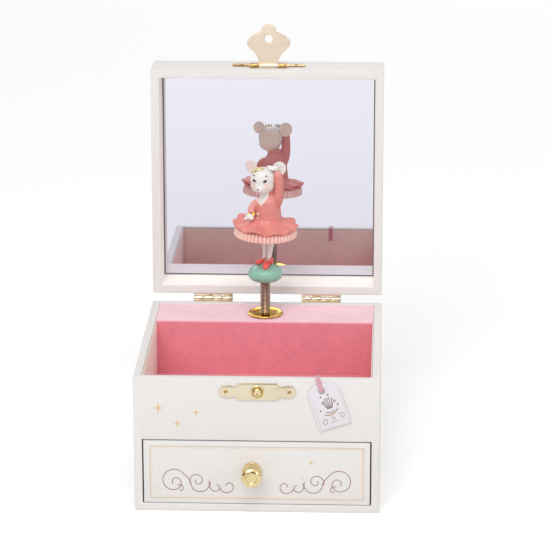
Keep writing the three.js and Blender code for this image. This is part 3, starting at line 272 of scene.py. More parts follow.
def joined(name, *pieces):
    clear()
    for piece in pieces:
        piece.select_set(True)
    bpy.context.view_layer.objects.active = pieces[0]
    bpy.ops.object.join()
    return settle(bpy.context.object, name)


def fused(name, *pieces, voxel=0.3, rounds=6):
    """Melts pieces into one smooth cast form."""
    piece = joined(name, *pieces)
    apply(piece, "REMESH", mode="VOXEL", voxel_size=voxel * MM, use_smooth_shade=True)
    apply(piece, "SMOOTH", factor=0.5, iterations=rounds)
    return soft(piece)


def dressed(name, node, edge=0.12, segments=2):
    """A copy of a node with its edges rounded, which stands for the node."""
    source = frame["nodes"][node]
    piece = bpy.data.objects.new(name, source.data.copy())
    bpy.context.scene.collection.objects.link(piece)
    piece.data.materials.clear()
    edit(piece)
    bpy.ops.mesh.customdata_custom_splitnormals_clear()
    bpy.ops.mesh.remove_doubles(threshold=1e-7)
    bpy.ops.mesh.dissolve_limited(angle_limit=math.radians(1))
    leave()
    apply(piece, "BEVEL", width=edge * MM, segments=segments, limit_method="ANGLE",
          angle_limit=math.radians(40), use_clamp_overlap=True, harden_normals=False)
    smooth(piece, 30)
    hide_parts(node)
    return piece


# ---------- shader groups
class Wiring:
    """Adds nodes to a tree and joins them."""

    def __init__(self, tree):
        self.tree = tree

    def node(self, kind, inputs=(), **settings):
        made = self.tree.nodes.new(kind)
        for key, value in settings.items():
            setattr(made, key, value)
        for socket, value in dict(inputs).items():
            if isinstance(value, bpy.types.NodeSocket):
                self.tree.links.new(value, made.inputs[socket])
            else:
                made.inputs[socket].default_value = value
        return made

    def math(self, operation, a, b=0.0):
        return self.node("ShaderNodeMath", {0: a, 1: b}, operation=operation).outputs[0]

    def plus(self, first, *others):
        for other in others:
            first = self.math("ADD", first, other)
        return first

    def minus(self, a, b):
        return self.math("SUBTRACT", a, b)

    def times(self, a, b):
        return self.math("MULTIPLY", a, b)

    def swing(self, pattern, share):
        """How far a pattern of 0 to 1 is above its middle, times the share."""
        return self.times(self.minus(pattern, 0.5), share)

    def vector(self, operation, a, b=(0, 0, 0)):
        made = self.node("ShaderNodeVectorMath", {0: a, 1: b}, operation=operation)
        return made.outputs["Value" if operation == "LENGTH" else "Vector"]

    def part(self, vector, axis):
        """One of a vector's three parts, 0 for x."""
        return self.node("ShaderNodeSeparateXYZ", {0: vector}).outputs[axis]

    def mix(self, share, a, b):
        return self.node("ShaderNodeMix", {0: share, 6: a, 7: b}, data_type="RGBA").outputs[2]

    def shaded(self, colour, *shades):
        """The colour made brighter by the sum of the shades."""
        value = self.plus(*shades, 1.0)
        return self.node("ShaderNodeHueSaturation", {"Color": colour, "Value": value}).outputs[0]

    def ramp(self, value, low, high, to_low=0.0, to_high=1.0):
        inputs = {0: value, 1: low, 2: high, 3: to_low, 4: to_high}
        return self.node("ShaderNodeMapRange", inputs, interpolation_type="SMOOTHSTEP").outputs[0]

    def place(self):
        return self.node("ShaderNodeTexCoord").outputs["Object"]

    def facing(self, axis):
        """How far the surface of a piece faces along an axis."""
        return self.part(self.node("ShaderNodeTexCoord").outputs["Normal"], axis)

    def noise(self, scale, detail=3.0, at=None, roughness=0.5):
        inputs = {"Vector": at or self.place(), "Scale": scale, "Detail": detail, "Roughness": roughness}
        return self.node("ShaderNodeTexNoise", inputs).outputs["Fac"]

    def join(self, output, socket):
        self.tree.links.new(output, socket)


RESULTS = {"Colour": "NodeSocketColor", "Roughness": "NodeSocketFloat", "Height": "NodeSocketFloat"}


def surface_group(name, build, inputs):
    """A group with a colour, a roughness and a height, which build makes from the group's inputs."""
    group = bpy.data.node_groups.new(name, "ShaderNodeTree")
    for socket, value in inputs.items():
        kind = "NodeSocketFloat" if isinstance(value, float) else "NodeSocketColor"
        group.interface.new_socket(socket, in_out="INPUT", socket_type=kind).default_value = value
    for socket, kind in RESULTS.items():
        group.interface.new_socket(socket, in_out="OUTPUT", socket_type=kind)
    w = Wiring(group)
    entry, ending = w.node("NodeGroupInput"), w.node("NodeGroupOutput")
    for socket, result in zip(RESULTS, build(w, entry.outputs)):
        w.join(result, ending.inputs[socket])
    return group


def build_wrap(w, entry):
    """Printed paper with a fine linen emboss, faint mottling and a little handling on it."""
    def threads(spots):
        inputs = {"Vector": spots, "Scale": entry["Thread"], "Distortion": 1.2, "Detail": 1.0,
                  "Detail Scale": 2.0}
        return w.node("ShaderNodeTexWave", inputs, bands_direction="DIAGONAL").outputs["Fac"]

    spots = w.place()
    mirrored = w.vector("MULTIPLY", spots, (-1.0, 1.0, 1.0))
    weave = w.times(w.plus(threads(spots), threads(mirrored)), 0.5)
    mottle = w.noise(35.0, 4.0)
    fibre = w.noise(900.0, 2.0)
    colour = w.shaded(entry["Colour"], w.swing(mottle, 0.05), w.swing(fibre, 0.05), w.swing(weave, 0.015))
    rough = w.plus(w.times(mottle, 0.12), entry["Roughness"])
    return colour, rough, w.plus(w.times(weave, 0.7), w.times(fibre, 0.5))


def build_flock(w, entry):
    """Short flock pile: fine grain and tufts, soft patches where it lies over, and a painted sheen that makes
    it paler where it faces up.
    """
    grain = w.noise(2600.0, 2.0, roughness=0.7)
    patches = w.swing(w.noise(55.0), 0.2)
    streaks = w.swing(w.noise(210.0), 0.16)
    tufts = w.swing(w.noise(750.0, roughness=0.6), 0.28)
    # painted sheen: faces that point up are mixed toward a paler colour, as the pile looks where light grazes
    # it
    up = w.ramp(w.part(w.node("ShaderNodeNewGeometry").outputs["Normal"], 2), 0.2, 0.95)
    pile = w.mix(w.times(up, entry["Painted Sheen Share"]), entry["Colour"], entry["Painted Sheen Colour"])
    colour = w.shaded(pile, patches, w.swing(grain, 0.4), streaks, tufts)
    return colour, w.plus(w.times(grain, 0.1), entry["Roughness"]), grain


def build_metal(w, entry):
    """Polished plate: fine brushing, cloudy tarnish and a few finger-dulled patches."""
    cloud = w.noise(130.0)
    brush = w.noise(700.0, at=w.vector("MULTIPLY", w.place(), (1.0, 1.0, 14.0)), roughness=0.6)
    wear = entry["Wear"]
    worn = w.mix(w.times(w.ramp(cloud, 0.45, 0.75, 0.0, 0.55), wear), entry["Colour"], entry["Tarnish"])
    colour = w.shaded(worn, w.times(w.swing(brush, 0.08), wear))
    dulled = w.plus(w.times(cloud, 0.07), w.times(brush, 0.05))
    rough = w.plus(entry["Roughness"], w.times(dulled, wear))
    return colour, rough, w.plus(w.times(brush, 0.5), cloud)


def build_paint(w, entry):
    """Brushed-on paint over cast resin: slight pooling, a fine speckle and soft bumps of the cast."""
    pooling = w.noise(260.0)
    speckle = w.ramp(w.noise(2100.0, 1.0), 0.66, 0.74)
    body = w.shaded(entry["Colour"], w.swing(pooling, entry["Pooling"]))
    marked = w.mix(w.times(speckle, entry["Speckle"]), body, entry["Speckle Colour"])
    rough = w.plus(entry["Roughness"], w.times(pooling, 0.15))
    return marked, rough, w.plus(pooling, w.times(w.noise(1500.0, 2.0), 0.3))


WHITE = (1, 1, 1, 1)
WRAP = surface_group("paper wrap", build_wrap, {"Colour": WHITE, "Roughness": 0.6, "Thread": 420.0})
FLOCK = surface_group("flock pile", build_flock, {"Colour": WHITE, "Painted Sheen Colour": WHITE, "Painted Sheen Share": 0.0,
                                                  "Roughness": 0.85})
METAL = surface_group("polished plate", build_metal, {"Colour": WHITE, "Tarnish": WHITE, "Roughness": 0.1,
                                                      "Wear": 1.0})
PAINT = surface_group("cast paint", build_paint, {"Colour": WHITE, "Roughness": 0.4, "Pooling": 0.12,
                                                  "Speckle": 0.0, "Speckle Colour": WHITE})


def srgb(red, green, blue):
    """A colour written as 0 to 255, made linear."""
    def linear(value):
        value /= 255
        return value / 12.92 if value <= 0.04045 else ((value + 0.055) / 1.055) ** 2.4
    return (linear(red), linear(green), linear(blue), 1)


def material(name, group, inputs, bump=None, shader=(), paint=None):
    """A material whose colour, roughness and bump come from a group; paint may change the colour.

    The bump is a strength and a distance in millimetres."""
    made = bpy.data.materials.new(name)
    made.use_nodes = True
    w = Wiring(made.node_tree)
    sockets = made.node_tree.nodes["Principled BSDF"].inputs
    surface = w.node("ShaderNodeGroup", inputs, node_tree=group).outputs
    w.join(paint(w, surface["Colour"]) if paint else surface["Colour"], sockets["Base Color"])
    w.join(surface["Roughness"], sockets["Roughness"])
    if bump:
        strength, distance = bump
        bumped = w.node("ShaderNodeBump", {"Strength": strength, "Distance": distance * MM,
                                           "Height": surface["Height"]})
        w.join(bumped.outputs[0], sockets["Normal"])
    for socket, value in dict(shader).items():
        sockets[socket].default_value = value
    made.diffuse_color = inputs["Colour"]
    return made


def metal(name, colour, tarnish, roughness, bump=(0.1, 0.02), metallic=1.0, wear=1.0):
    """Plate, wire or metallic ink, its colour and its tarnish written as 0 to 255."""
    inputs = {"Colour": srgb(*colour), "Tarnish": srgb(*tarnish), "Roughness": roughness, "Wear": wear}
    return material(name, METAL, inputs, bump, {"Metallic": metallic})


def painted(name, colour, roughness, bump=(0.25, 0.1), coat=None, paint=None, slot="dancer_paint", shader=(),
            **inputs):
    """Paint on cast resin, its colour written as 0 to 255; the coat is a varnish's weight and roughness."""
    if coat:
        shader = {"Coat Weight": coat[0], "Coat Roughness": coat[1]}
    inputs = {"Colour": srgb(*colour), "Roughness": roughness, **inputs}
    return material(name, PAINT, inputs, bump, shader, paint)


def top_highlight_paint(pale, share):
    """Painted highlight: paint that is paler, in patches, where a figure's surface faces up toward the light.
    """
    def paint(w, colour):
        up = w.ramp(w.facing(2), 0.0, 0.95, 0.0, share)
        patchy = w.ramp(w.noise(150.0), 0.3, 0.7, 0.5, 1.0)
        return w.mix(w.times(up, patchy), colour, pale)
    return paint


LINEN, PILE = (0.22, 0.06), (0.6, 0.12)  # bumps of paper and of flock
MATT = {"Specular IOR Level": 0.35}
PAPER = material("ivory paper", WRAP, {"Colour": srgb(229, 225, 222), "Roughness": 0.55},
                 LINEN, MATT)
# painted light: the lid's inner walls get a brighter copy of the paper, for light the mirror throws back
PAINTED_LIGHT_LID_PAPER = material("lid paper brightened as painted light", WRAP,
                      {"Colour": srgb(243, 239, 235), "Roughness": 0.55}, LINEN, MATT)
BARE_BOARD = material("grey board", WRAP,
                      {"Colour": srgb(150, 140, 128), "Roughness": 0.8, "Thread": 90.0}, (0.5, 0.1))
CARD = material("lilac card", WRAP,
                {"Colour": srgb(227, 223, 228), "Roughness": 0.5, "Thread": 700.0}, (0.15, 0.03))
ROSE = {"Colour": srgb(229, 139, 152), "Painted Sheen Colour": srgb(240, 201, 212)}
NAP = {"Sheen Weight": 0.25, "Sheen Roughness": 0.5, "Specular IOR Level": 0.1}
ROSE_FLOCK = material("rose flock", FLOCK, ROSE, PILE, NAP)
# the ledge's flock is painted paler on top, a painted sheen
LEDGE_FLOCK = material("rose flock with painted sheen on top", FLOCK, {**ROSE, "Painted Sheen Share": 1.0}, PILE, NAP)
# the wall linings' flock is painted much paler than the floor's, as a painted sheen of the pile seen at a
# grazing angle
SHEEN_PALED_WALL_FLOCK = material("rose flock paled as painted sheen", FLOCK, {"Colour": srgb(245, 231, 218)}, PILE, NAP)
# the ribbon's satin is painted paler where it faces up, a painted sheen
SATIN = material("rose satin", FLOCK,
                 {"Colour": srgb(212, 160, 171), "Painted Sheen Colour": srgb(228, 188, 198), "Painted Sheen Share": 0.4,
                  "Roughness": 0.35}, (0.15, 0.03), {"Sheen Weight": 0.2, "Sheen Roughness": 0.3})

POLISH, FOIL = (0.05, 0.02), (0.2, 0.02)  # bumps of polished plate and of foil
GOLD = metal("polished gold", (230, 210, 160), (206, 170, 104), 0.08, POLISH)
BRIGHT_GOLD = metal("yellow gold", (246, 202, 84), (226, 176, 62), 0.08, POLISH)
DARK_GOLD = metal("aged gold", (196, 160, 98), (140, 104, 52), 0.15)
PALE_GOLD = metal("pale gold plate", (230, 217, 190), (222, 206, 176), 0.2, (0.12, 0.02))
SATIN_GOLD = metal("satin gold", (236, 220, 200), (228, 208, 182), 0.42, (0.08, 0.02), 0.8)
SPRING_STEEL = metal("spring steel", (176, 154, 140), (116, 94, 80), 0.2)
STEEL = metal("bright steel", (190, 190, 192), (165, 165, 168), 0.2)
CASTING = metal("die casting", (176, 178, 180), (150, 152, 156), 0.4, (0.4, 0.05))
GLASS = metal("silvered glass", (218, 217, 227), (216, 215, 226), 0.0, None, wear=0.03)
# the glass's own edges, and a painted shadow for the gap between the mirror and the lid's walls
GLASS_EDGE_AND_GAP_SHADOW = metal("mirror edge and painted gap shadow", (110, 105, 108), (80, 76, 80), 0.3, metallic=0.3)
GOLD_FOIL = metal("gold foil", (226, 198, 142), (206, 172, 112), 0.4, FOIL, 0.35)
ROSE_FOIL = metal("rose brown ink", (166, 130, 119), (146, 112, 102), 0.45, FOIL, 0.1)
BORDER_INK = metal("beige ink", (206, 192, 180), (196, 180, 166), 0.5, metallic=0.1)
BAND_INK = metal("pale beige ink", (232, 219, 207), (226, 210, 196), 0.5, metallic=0.0)
TAG_BRONZE = metal("bronze ink", (128, 102, 90), (104, 80, 70), 0.45, metallic=0.15)
TAG_GOLD = metal("ochre ink", (184, 150, 118), (160, 124, 92), 0.45, metallic=0.2)
TAG_ROSE = metal("faded rose ink", (178, 150, 146), (160, 130, 126), 0.5, metallic=0.0)

DRESS_COAT, FUR_BUMP = (0.2, 0.3), (0.2, 0.08)
FUR = (231, 227, 223)
SPECKLED = {"Pooling": 0.1, "Speckle": 0.15, "Speckle Colour": srgb(214, 196, 190)}
# the coral paint has a painted highlight where the dress faces up
CORAL = painted("coral paint with painted highlight", (219, 122, 114), 0.4, coat=DRESS_COAT, Pooling=0.25,
                paint=top_highlight_paint(srgb(238, 166, 156), 0.4))
SHOE_RED = painted("shoe red paint", (238, 92, 84), 0.3, (0.15, 0.08), (0.4, 0.2))
CREAM = painted("cream paint", FUR, 0.42, FUR_BUMP, **SPECKLED)
EAR_PINK = painted("inner ear paint", (226, 206, 200), 0.5, FUR_BUMP)
NOSE_PINK = painted("nose paint", (186, 116, 120), 0.3, (0.1, 0.05), (0.5, 0.1))
TEAL = painted("sea green paint", (138, 190, 171), 0.28, (0.12, 0.1), (0.3, 0.2), slot="dome_paint",
               Pooling=0.1)
DARK_PAINT = painted("dark paint", (36, 28, 32), 0.4, (0.05, 0.02), shader={"Specular IOR Level": 0.25})


def finish_in(piece, finish):
    """Gives a piece one material and the slot that goes with it."""
    piece.data.materials.clear()
    piece.data.materials.append(finish)


def finish_piece(piece, body, finish, *nodes):
    """Gives a piece its material and body, and hides the nodes it stands for."""
    finish_in(piece, finish)
    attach(piece, body)
    if nodes:
        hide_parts(*nodes)
    return piece


def paint_nodes(finish, *nodes):
    """Nodes whose shape is right keep it, and get their finish."""
    for node in nodes:
        piece = frame["nodes"][node]
        if not piece.material_slots:
            piece.data.materials.append(finish)
        for slot in piece.material_slots:
            slot.material = finish


def repaint(piece, finish, test):
    """Gives the faces that the test accepts another material."""
    piece.data.materials.append(finish)
    for face in piece.data.polygons:
        if test(face.center, face.normal):
            face.material_index = len(piece.data.materials) - 1


# ---------- lid turned open
HINGE_PIN = (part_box("hinge_left_pin")[0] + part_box("hinge_left_pin")[1]) / 2
JOINTS = {joint["name"]: joint for joint in frame["record"]["behaviour"]["joints"]}
LID_ANGLE = JOINTS["lid_hinge"]["range_deg"][1]


def lid_turn(angle):
    turn = Matrix.Rotation(math.radians(angle), 4, "X")
    return Matrix.Translation(HINGE_PIN) @ turn @ Matrix.Translation(-HINGE_PIN)


def open_lid(piece):
    """Turns a piece that was modelled on the closed lid to the open lid's place."""
    piece.data.transform(lid_turn(-LID_ANGLE))
    piece.data.update()


def closed_box(node):
    """Box of a lid node as it is when the lid is closed."""
    turn = lid_turn(LID_ANGLE)
    corners = [turn @ vertex.co for vertex in frame["nodes"][node].data.vertices]
    low = Vector([min(corner[axis] for corner in corners) for axis in range(3)])
    high = Vector([max(corner[axis] for corner in corners) for axis in range(3)])
    return low, high


# ---------- wrapped carcass
HAIR = 0.1 * MM  # how far a test of faces reaches past a surface
TURN_IN = 12 * MM  # how far the paper goes down inside the base
ARBOR_HOLE, BUSH_HOLE = 1.8, 4.1  # radii
GAP_SHADOW_BORDER = 0.55 * MM
NOSING = 1.4 * MM  # roundness of the ledge's front edge


def wrapped(piece):
    """Rounds the edges of boards as paper that is wrapped over them does."""
    apply(piece, "BEVEL", width=0.4 * MM, segments=3, limit_method="ANGLE", angle_limit=math.radians(50))
    smooth(piece)


def make_base():
    bottom_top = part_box("bottom_panel")[1].z
    opening_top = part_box("front_panel")[0].z
    inner = RIGHT_FACE - BOARD
    base = cube("base_carcass", (LEFT_FACE, FRONT_FACE, 0), (RIGHT_FACE, BACK_FACE, RIM))
    hollow(base, (-inner, FRONT_FACE + BOARD, bottom_top), (inner, BACK_FACE - BOARD, RIM + BOARD))
    hollow(base, (-inner, FRONT_FACE - BOARD, bottom_top), (inner, FRONT_FACE + 2 * BOARD, opening_top))
    arbor_low, arbor_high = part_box("winding_arbor")
    bore(base, ARBOR_HOLE, (0, BACK, (arbor_low.z + arbor_high.z) / 2 / MM), (90, 0, 0))
    wrapped(base)
    finish_piece(base, "root", PAPER, "side_left", "side_right", "front_panel", "back_panel",
                 "bottom_panel")

    def bare(centre, normal):
        between = abs(centre.x) < inner + HAIR and abs(centre.y) < BACK_FACE - BOARD + HAIR
        return between and 1 * MM < centre.z < RIM - TURN_IN

    repaint(base, BARE_BOARD, bare)


def make_lid():
    panel_low, panel_high = closed_box("lid_panel")
    side_low = closed_box("lid_side_left")[0]
    front_high = closed_box("lid_front")[1]
    lid = cube("lid_carcass", (panel_low.x, panel_low.y, side_low.z), panel_high)
    wall = front_high.y - panel_low.y
    hollow(lid, (panel_low.x + wall, front_high.y, side_low.z - BOARD),
           (panel_high.x - wall, panel_high.y - wall, panel_low.z))
    wrapped(lid)
    finish_piece(lid, "lid", PAPER, "lid_panel", "lid_side_left", "lid_side_right", "lid_front", "lid_back")

    def inside(centre, normal):
        deep = front_high.y - HAIR < centre.y < panel_high.y - wall + HAIR and centre.z < panel_low.z + HAIR
        return deep and abs(centre.x) < panel_high.x - wall + HAIR and abs(normal.z) < 0.5

    # painted light: brighter paper on the lid's inner walls
    repaint(lid, PAINTED_LIGHT_LID_PAPER, inside)
    open_lid(lid)
    low, high = closed_box("mirror")
    glass = cube("mirror_glass", low, high)
    # a narrow border is inset on the mirror's face, to be painted dark as the shadow in the gap at its edge
    edit(glass, "FACE", lambda part: part.normal.z < -0.9)
    bpy.ops.mesh.inset(thickness=GAP_SHADOW_BORDER)
    leave()
    finish_piece(glass, "lid", GLASS, "mirror")

    def silvered(centre):
        between = low.y + GAP_SHADOW_BORDER < centre.y < high.y - GAP_SHADOW_BORDER
        return between and abs(centre.x) < high.x - GAP_SHADOW_BORDER

    # painted shadow: the border and the glass's side faces get the dark edge material
    repaint(glass, GLASS_EDGE_AND_GAP_SHADOW, lambda centre, normal: not silvered(centre))
    open_lid(glass)


def make_linings():
    for node in ("lining_left", "lining_right", "lining_front", "lining_floor"):
        low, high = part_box(node)
        felt = block(node + "_felt", low, high, 0.2 * MM)
        finish_piece(felt, "root", ROSE_FLOCK if node == "lining_floor" else SHEEN_PALED_WALL_FLOCK, node)
    ledge_low, ledge_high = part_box("lining_ledge")
    part_low, part_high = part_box("lining_partition")
    felt = cube("ledge_felt", (ledge_low.x, part_low.y, part_low.z), ledge_high)
    hollow(felt, (ledge_low.x - BOARD, part_high.y, part_low.z - BOARD),
           (ledge_high.x + BOARD, ledge_high.y + BOARD, ledge_low.z))
    edit(felt, "EDGE", lambda part: all(
        felt.data.vertices[v].co.y < part_low.y + 0.01 * MM
        and felt.data.vertices[v].co.z > ledge_high.z - 0.01 * MM for v in part.vertices))
    bpy.ops.mesh.bevel(offset=NOSING, segments=7)
    leave()
    bore(felt, BUSH_HOLE, (0, AXIS_Y, ledge_high.z / MM))
    smooth(felt)
    finish_piece(felt, "root", LEDGE_FLOCK, "lining_ledge", "lining_partition")
    paint_nodes(BARE_BOARD, "drawer_shelf", "partition", "ledge_board")


def make_drawer():
    for name, node, edge, finish in (
            ("drawer_face", "drawer_front", 0.35, PAPER),
            ("drawer_side_left_wrapped", "drawer_side_left", 0.35, PAPER),
            ("drawer_side_right_wrapped", "drawer_side_right", 0.35, PAPER),
            ("drawer_back_wrapped", "drawer_back", 0.35, PAPER),
            ("drawer_floor", "drawer_bottom", 0.3, PAPER),
            ("drawer_felt", "drawer_lining", 0.2, ROSE_FLOCK)):
        finish_piece(block(name, *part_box(node), edge * MM), "drawer", finish, node)
    low, high, middle = in_mm(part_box("drawer_knob"))
    radius = (high.x - low.x) / 2
    length = high.y - low.y
    outline = [
        (0.31, 0), (0.9, 0), (0.965, 0.008), (0.995, 0.025), (1, 0.05), (1, 0.12), (0.985, 0.14),
        (0.93, 0.155), (0.89, 0.2), (0.862, 0.28), (0.85, 0.38), (0.852, 0.52), (0.875, 0.63),
        (0.92, 0.715), (0.965, 0.765), (0.99, 0.8), (1, 0.84), (1, 0.89), (0.985, 0.915), (0.93, 0.935),
        (0.88, 0.945), (0.8, 0.968), (0.7, 0.988), (0.62, 1), (0.58, 1), (0.55, 0.988), (0.53, 0.97),
        (0.5, 0.965), (0, 0.96),
    ]
    knob = turned("drawer_pull", [(out * radius, along * length) for out, along in outline], 64)
    place(knob, (middle.x, FRONT, middle.z), (90, 0, 0))
    finish_piece(knob, "drawer", GOLD, "drawer_knob")
    paint_nodes(STEEL, "knob_screw")


# ---------- printed ornament
INK = 0.05  # how thick a print is
SCROLL_LINE = 0.44  # width of the scrolls' line


def printed(name, lines, width, face, finish, body, middle=(0, 0), tilt=0):
    """Lines of ink on a front face, from points (x, z) in millimetres about a middle, tilted together."""
    piece = strand(name, [[(x, 0, z) for x, z in line] for line in lines], width)
    place(piece, (middle[0], face - INK * 0.3, middle[1]), (0, tilt, 0), (1, INK / width, 1))
    smooth(piece, 60)
    finish_piece(piece, body, finish)


def chain(corners):
    """The lines between corners that follow each other."""
    return [list(line) for line in zip(corners, corners[1:])]


def curl(centre, start_radius, end_radius, start, sweep, drift=(0, 0)):
    """Points of a spiral (x, z) from the start angle through the sweep.

    It starts off centre by the drift."""
    steps = max(8, int(abs(sweep) / 24))
    points = []
    for step in range(steps + 1):
        share = step / steps
        angle = math.radians(start + sweep * share)
        radius = start_radius + (end_radius - start_radius) * share
        points.append((centre[0] + drift[0] * (1 - share) + radius * math.cos(angle),
                       centre[1] + drift[1] * (1 - share) + radius * math.sin(angle)))
    return points


def scroll_lines(side):
    """One scroll, from its outer curl to the one beside the knob; side is 1 for the right half."""
    outer = curl((-37.8, 14.6), 1.2, 6.0, 200, -525, (1.4, -1.3))
    bowl = curl((-25.3, 13.5), 4.3, 4.0, 178, 198)
    lines = [
        outer + bowl,
        curl((-34.5, 10.7), 2.0, 0.7, 124, -240),
        curl((-26.6, 14.6), 3.7, 0.6, 204, -420),
        curl((-18.2, 11.9), 3.2, 0.8, 140, 310),
        curl((-12.9, 12.2), 3.9, 0.6, 190, 360),
    ]
    return [[(-x * side, z) for x, z in line] for line in lines]


def sparkle(name, x, z, height, width, face, body):
    """A four-pointed foil star on a front face."""
    clear()
    bpy.ops.mesh.primitive_circle_add(vertices=8, radius=MM, fill_type="NGON")
    star = bpy.context.object
    star.name = name
    place(star, turn=(90, 0, 0))
    for vertex in star.data.vertices:
        if abs(vertex.co.z) > 0.9 * MM:
            vertex.co.z *= height / 2
        elif abs(vertex.co.x) > 0.9 * MM:
            vertex.co.x *= width / 2
        else:
            vertex.co *= 0.16 * (height + width) / 4 / 0.7
    edit(star)
    bpy.ops.mesh.extrude_region_move(TRANSFORM_OT_translate={"value": (0, -INK * MM, 0)})
    leave()
    outward(star)
    place(star, (x, face + INK * 0.2, z))
    finish_piece(star, body, GOLD_FOIL)


DRAWER_SPARKLES = [(24.6, 23.9, 3.4, 3.0), (20.6, 16.5, 1.8, 1.5), (-21.0, 16.4, 1.7, 1.4),
                   (-15.7, 18.8, 1.9, 1.5), (-44.0, 11.0, 1.0, 1.0), (44.0, 10.9, 1.0, 1.0)]
BASE_SPARKLES = [(-43.8, 49.2, 6.0, 4.8), (-27.0, 47.2, 4.0, 3.6), (-35.4, 41.8, 4.6, 4.2)]


def make_prints():
    low, high = in_mm(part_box("drawer_front"))[:2]
    for side, name in ((-1, "scroll_left"), (1, "scroll_right")):
        printed(name, scroll_lines(side), SCROLL_LINE, low.y, ROSE_FOIL, "drawer")
    for name, inset, width, finish in (("border_line", 2.9, 0.36, BORDER_INK),
                                       ("border_band", 3.6, 0.9, BAND_INK)):
        x = high.x - inset
        bottom, top = low.z + inset - 0.5, high.z - inset + 0.5
        corners = [(-x, bottom), (x, bottom), (x, top), (-x, top), (-x, bottom)]
        printed(name, chain(corners), width, low.y, finish, "drawer")
    for index, shape in enumerate(DRAWER_SPARKLES):
        sparkle(f"drawer_sparkle_{index + 1}", *shape, low.y, "drawer")
    for index, shape in enumerate(BASE_SPARKLES):
        sparkle(f"base_sparkle_{index + 1}", *shape, FRONT, "root")


# ---------- gold hardware
NAIL = 0.9  # radius of a nail's head
SUNK = 0.05  # how far a nail's head sits in its plate
NAIL_INSET = 3.0  # from the edge of a plate to a nail's middle
HINGE_NAIL = 5.5  # from a hinge's middle to a nail's
LEAF_RISE = 0.95  # from the back to the face of a hinge leaf
HASP_NAIL = Spot(13.0, 1.6, 3.9)  # from the middle, the face and the top of the hasp's leaf


def pin_head(name, x, y, z, radius, toward, body, finish=DARK_GOLD):
    """A small domed nail or screw head; toward is -1 for the front, 1 for the back."""
    dome = [(1, 0), (0.95, 0.22), (0.7, 0.4), (0.3, 0.5), (0, 0.52)]
    outline = [(0, -0.3), (radius * 0.9, -0.3)] + [(out * radius, up * radius) for out, up in dome]
    head = turned(name, outline, 20)
    place(head, (x, y, z), (-90 * toward, 0, 0))
    if body == "lid":
        open_lid(head)
    finish_piece(head, body, finish)


def make_hinges():
    for side in ("left", "right"):
        for leaf, body in (("base_leaf", "root"), ("lid_leaf", "lid")):
            node = f"hinge_{side}_{leaf}"
            finish_piece(dressed(f"{node}_plate", node, 0.15), body, PALE_GOLD)
        paint_nodes(DARK_GOLD, f"hinge_{side}_pin")
        low, _, middle = in_mm(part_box(f"hinge_{side}_base_leaf"))
        lid_top = closed_box(f"hinge_{side}_lid_leaf")[1].z / MM
        for index, offset in enumerate((-HINGE_NAIL, HINGE_NAIL)):
            for part, body, z in (("base", "root", low.z + NAIL_INSET), ("lid", "lid", lid_top - NAIL_INSET)):
                pin_head(f"hinge_{side}_{part}_nail_{index + 1}", middle.x + offset,
                         BACK + LEAF_RISE, z, NAIL, 1, body, GOLD)


def make_clasp():
    finish_piece(dressed("clasp_plate", "latch_plate", 0.18), "root", PALE_GOLD)
    low, high, middle = in_mm(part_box("latch_plate"))
    for index, x in enumerate((low.x + NAIL_INSET, high.x - NAIL_INSET)):
        pin_head(f"clasp_nail_{index + 1}", x, low.y + SUNK, middle.z, NAIL, -1, "root")
    stud_low, stud_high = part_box("latch_stud")
    wide = (stud_high.x - stud_low.x) / 2 / MM
    reach = (FRONT_FACE - stud_low.y) / MM
    seat = [(0, 0.5), (1, 0.62), (1, 0.78), (0.94, 0.95), (0.8, 1.05), (0.66, 0.95), (0.5, 0.8), (0.45, 0.8)]
    head = [(0.45, 1.1), (0.56, 0.9), (0.6, 0.6), (0.54, 0.25), (0.4, 0.03), (0.26, 0), (0.18, 0.12),
            (0, 0.25)]
    outline = [(out * wide, up) for out, up in seat] + [(out * wide, reach - down) for out, down in head]
    stud = place(turned("clasp_stud", outline, 40), (middle.x, FRONT, middle.z), (90, 0, 0))
    finish_piece(stud, "root", GOLD, "latch_stud")
    seat = ring("clasp_stud_seat", (middle.x, FRONT - 0.85, middle.z), (90, 0, 0), wide * 0.74, 0.3, 10)
    finish_piece(seat, "root", DARK_GOLD)
    finish_piece(dressed("hasp_plate", "hasp_leaf", 0.15), "lid", DARK_GOLD)
    paint_nodes(DARK_GOLD, "hasp_pin")
    leaf_low, leaf_high = closed_box("hasp_leaf")
    for index, side in enumerate((-1, 1)):
        pin_head(f"hasp_nail_{index + 1}", middle.x + side * HASP_NAIL.x, leaf_low.y / MM + HASP_NAIL.y,
                 leaf_high.z / MM - HASP_NAIL.z, 0.75, -1, "lid")
    tongue = dressed("hasp_tongue", "hasp_flap", 0.18)
    finish_piece(tongue, "hasp", SATIN_GOLD)
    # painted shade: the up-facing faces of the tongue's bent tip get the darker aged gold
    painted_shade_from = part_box("hasp_flap")[1].z - 3 * MM
    repaint(tongue, DARK_GOLD, lambda centre, normal: centre.z > painted_shade_from and normal.z > 0.35)


def make_movement():
    finish_piece(dressed("key_wings", "winding_key", 0.35, 3), "winding", GOLD)
    paint_nodes(STEEL, "winding_arbor", "comb", "comb_screw_1", "comb_screw_2", "spindle")
    paint_nodes(CASTING, "bedplate")
    paint_nodes(SPRING_STEEL, "mainspring")
    paint_nodes(GOLD, "spindle_bush", "spring_barrel", "pin_cylinder", "drive_pinion", "fly_gear", "fly")


# ---------- spring and cup
WIRE = 0.66  # thickness of the spring's wire
TURNS = 23
STEPS = 14  # points on each turn of the wire
CUP_BORE = 1.25
CUP = [  # the cup's section, in shares of its radius and height
    (0.5, 0), (0.76, 0.04), (0.9, 0.2), (0.97, 0.45), (1, 0.68), (0.988, 0.88), (0.96, 0.98), (0.93, 1),
    (0.895, 0.93), (0.86, 0.74), (0.79, 0.54), (0.68, 0.44), (0.5, 0.4),
]


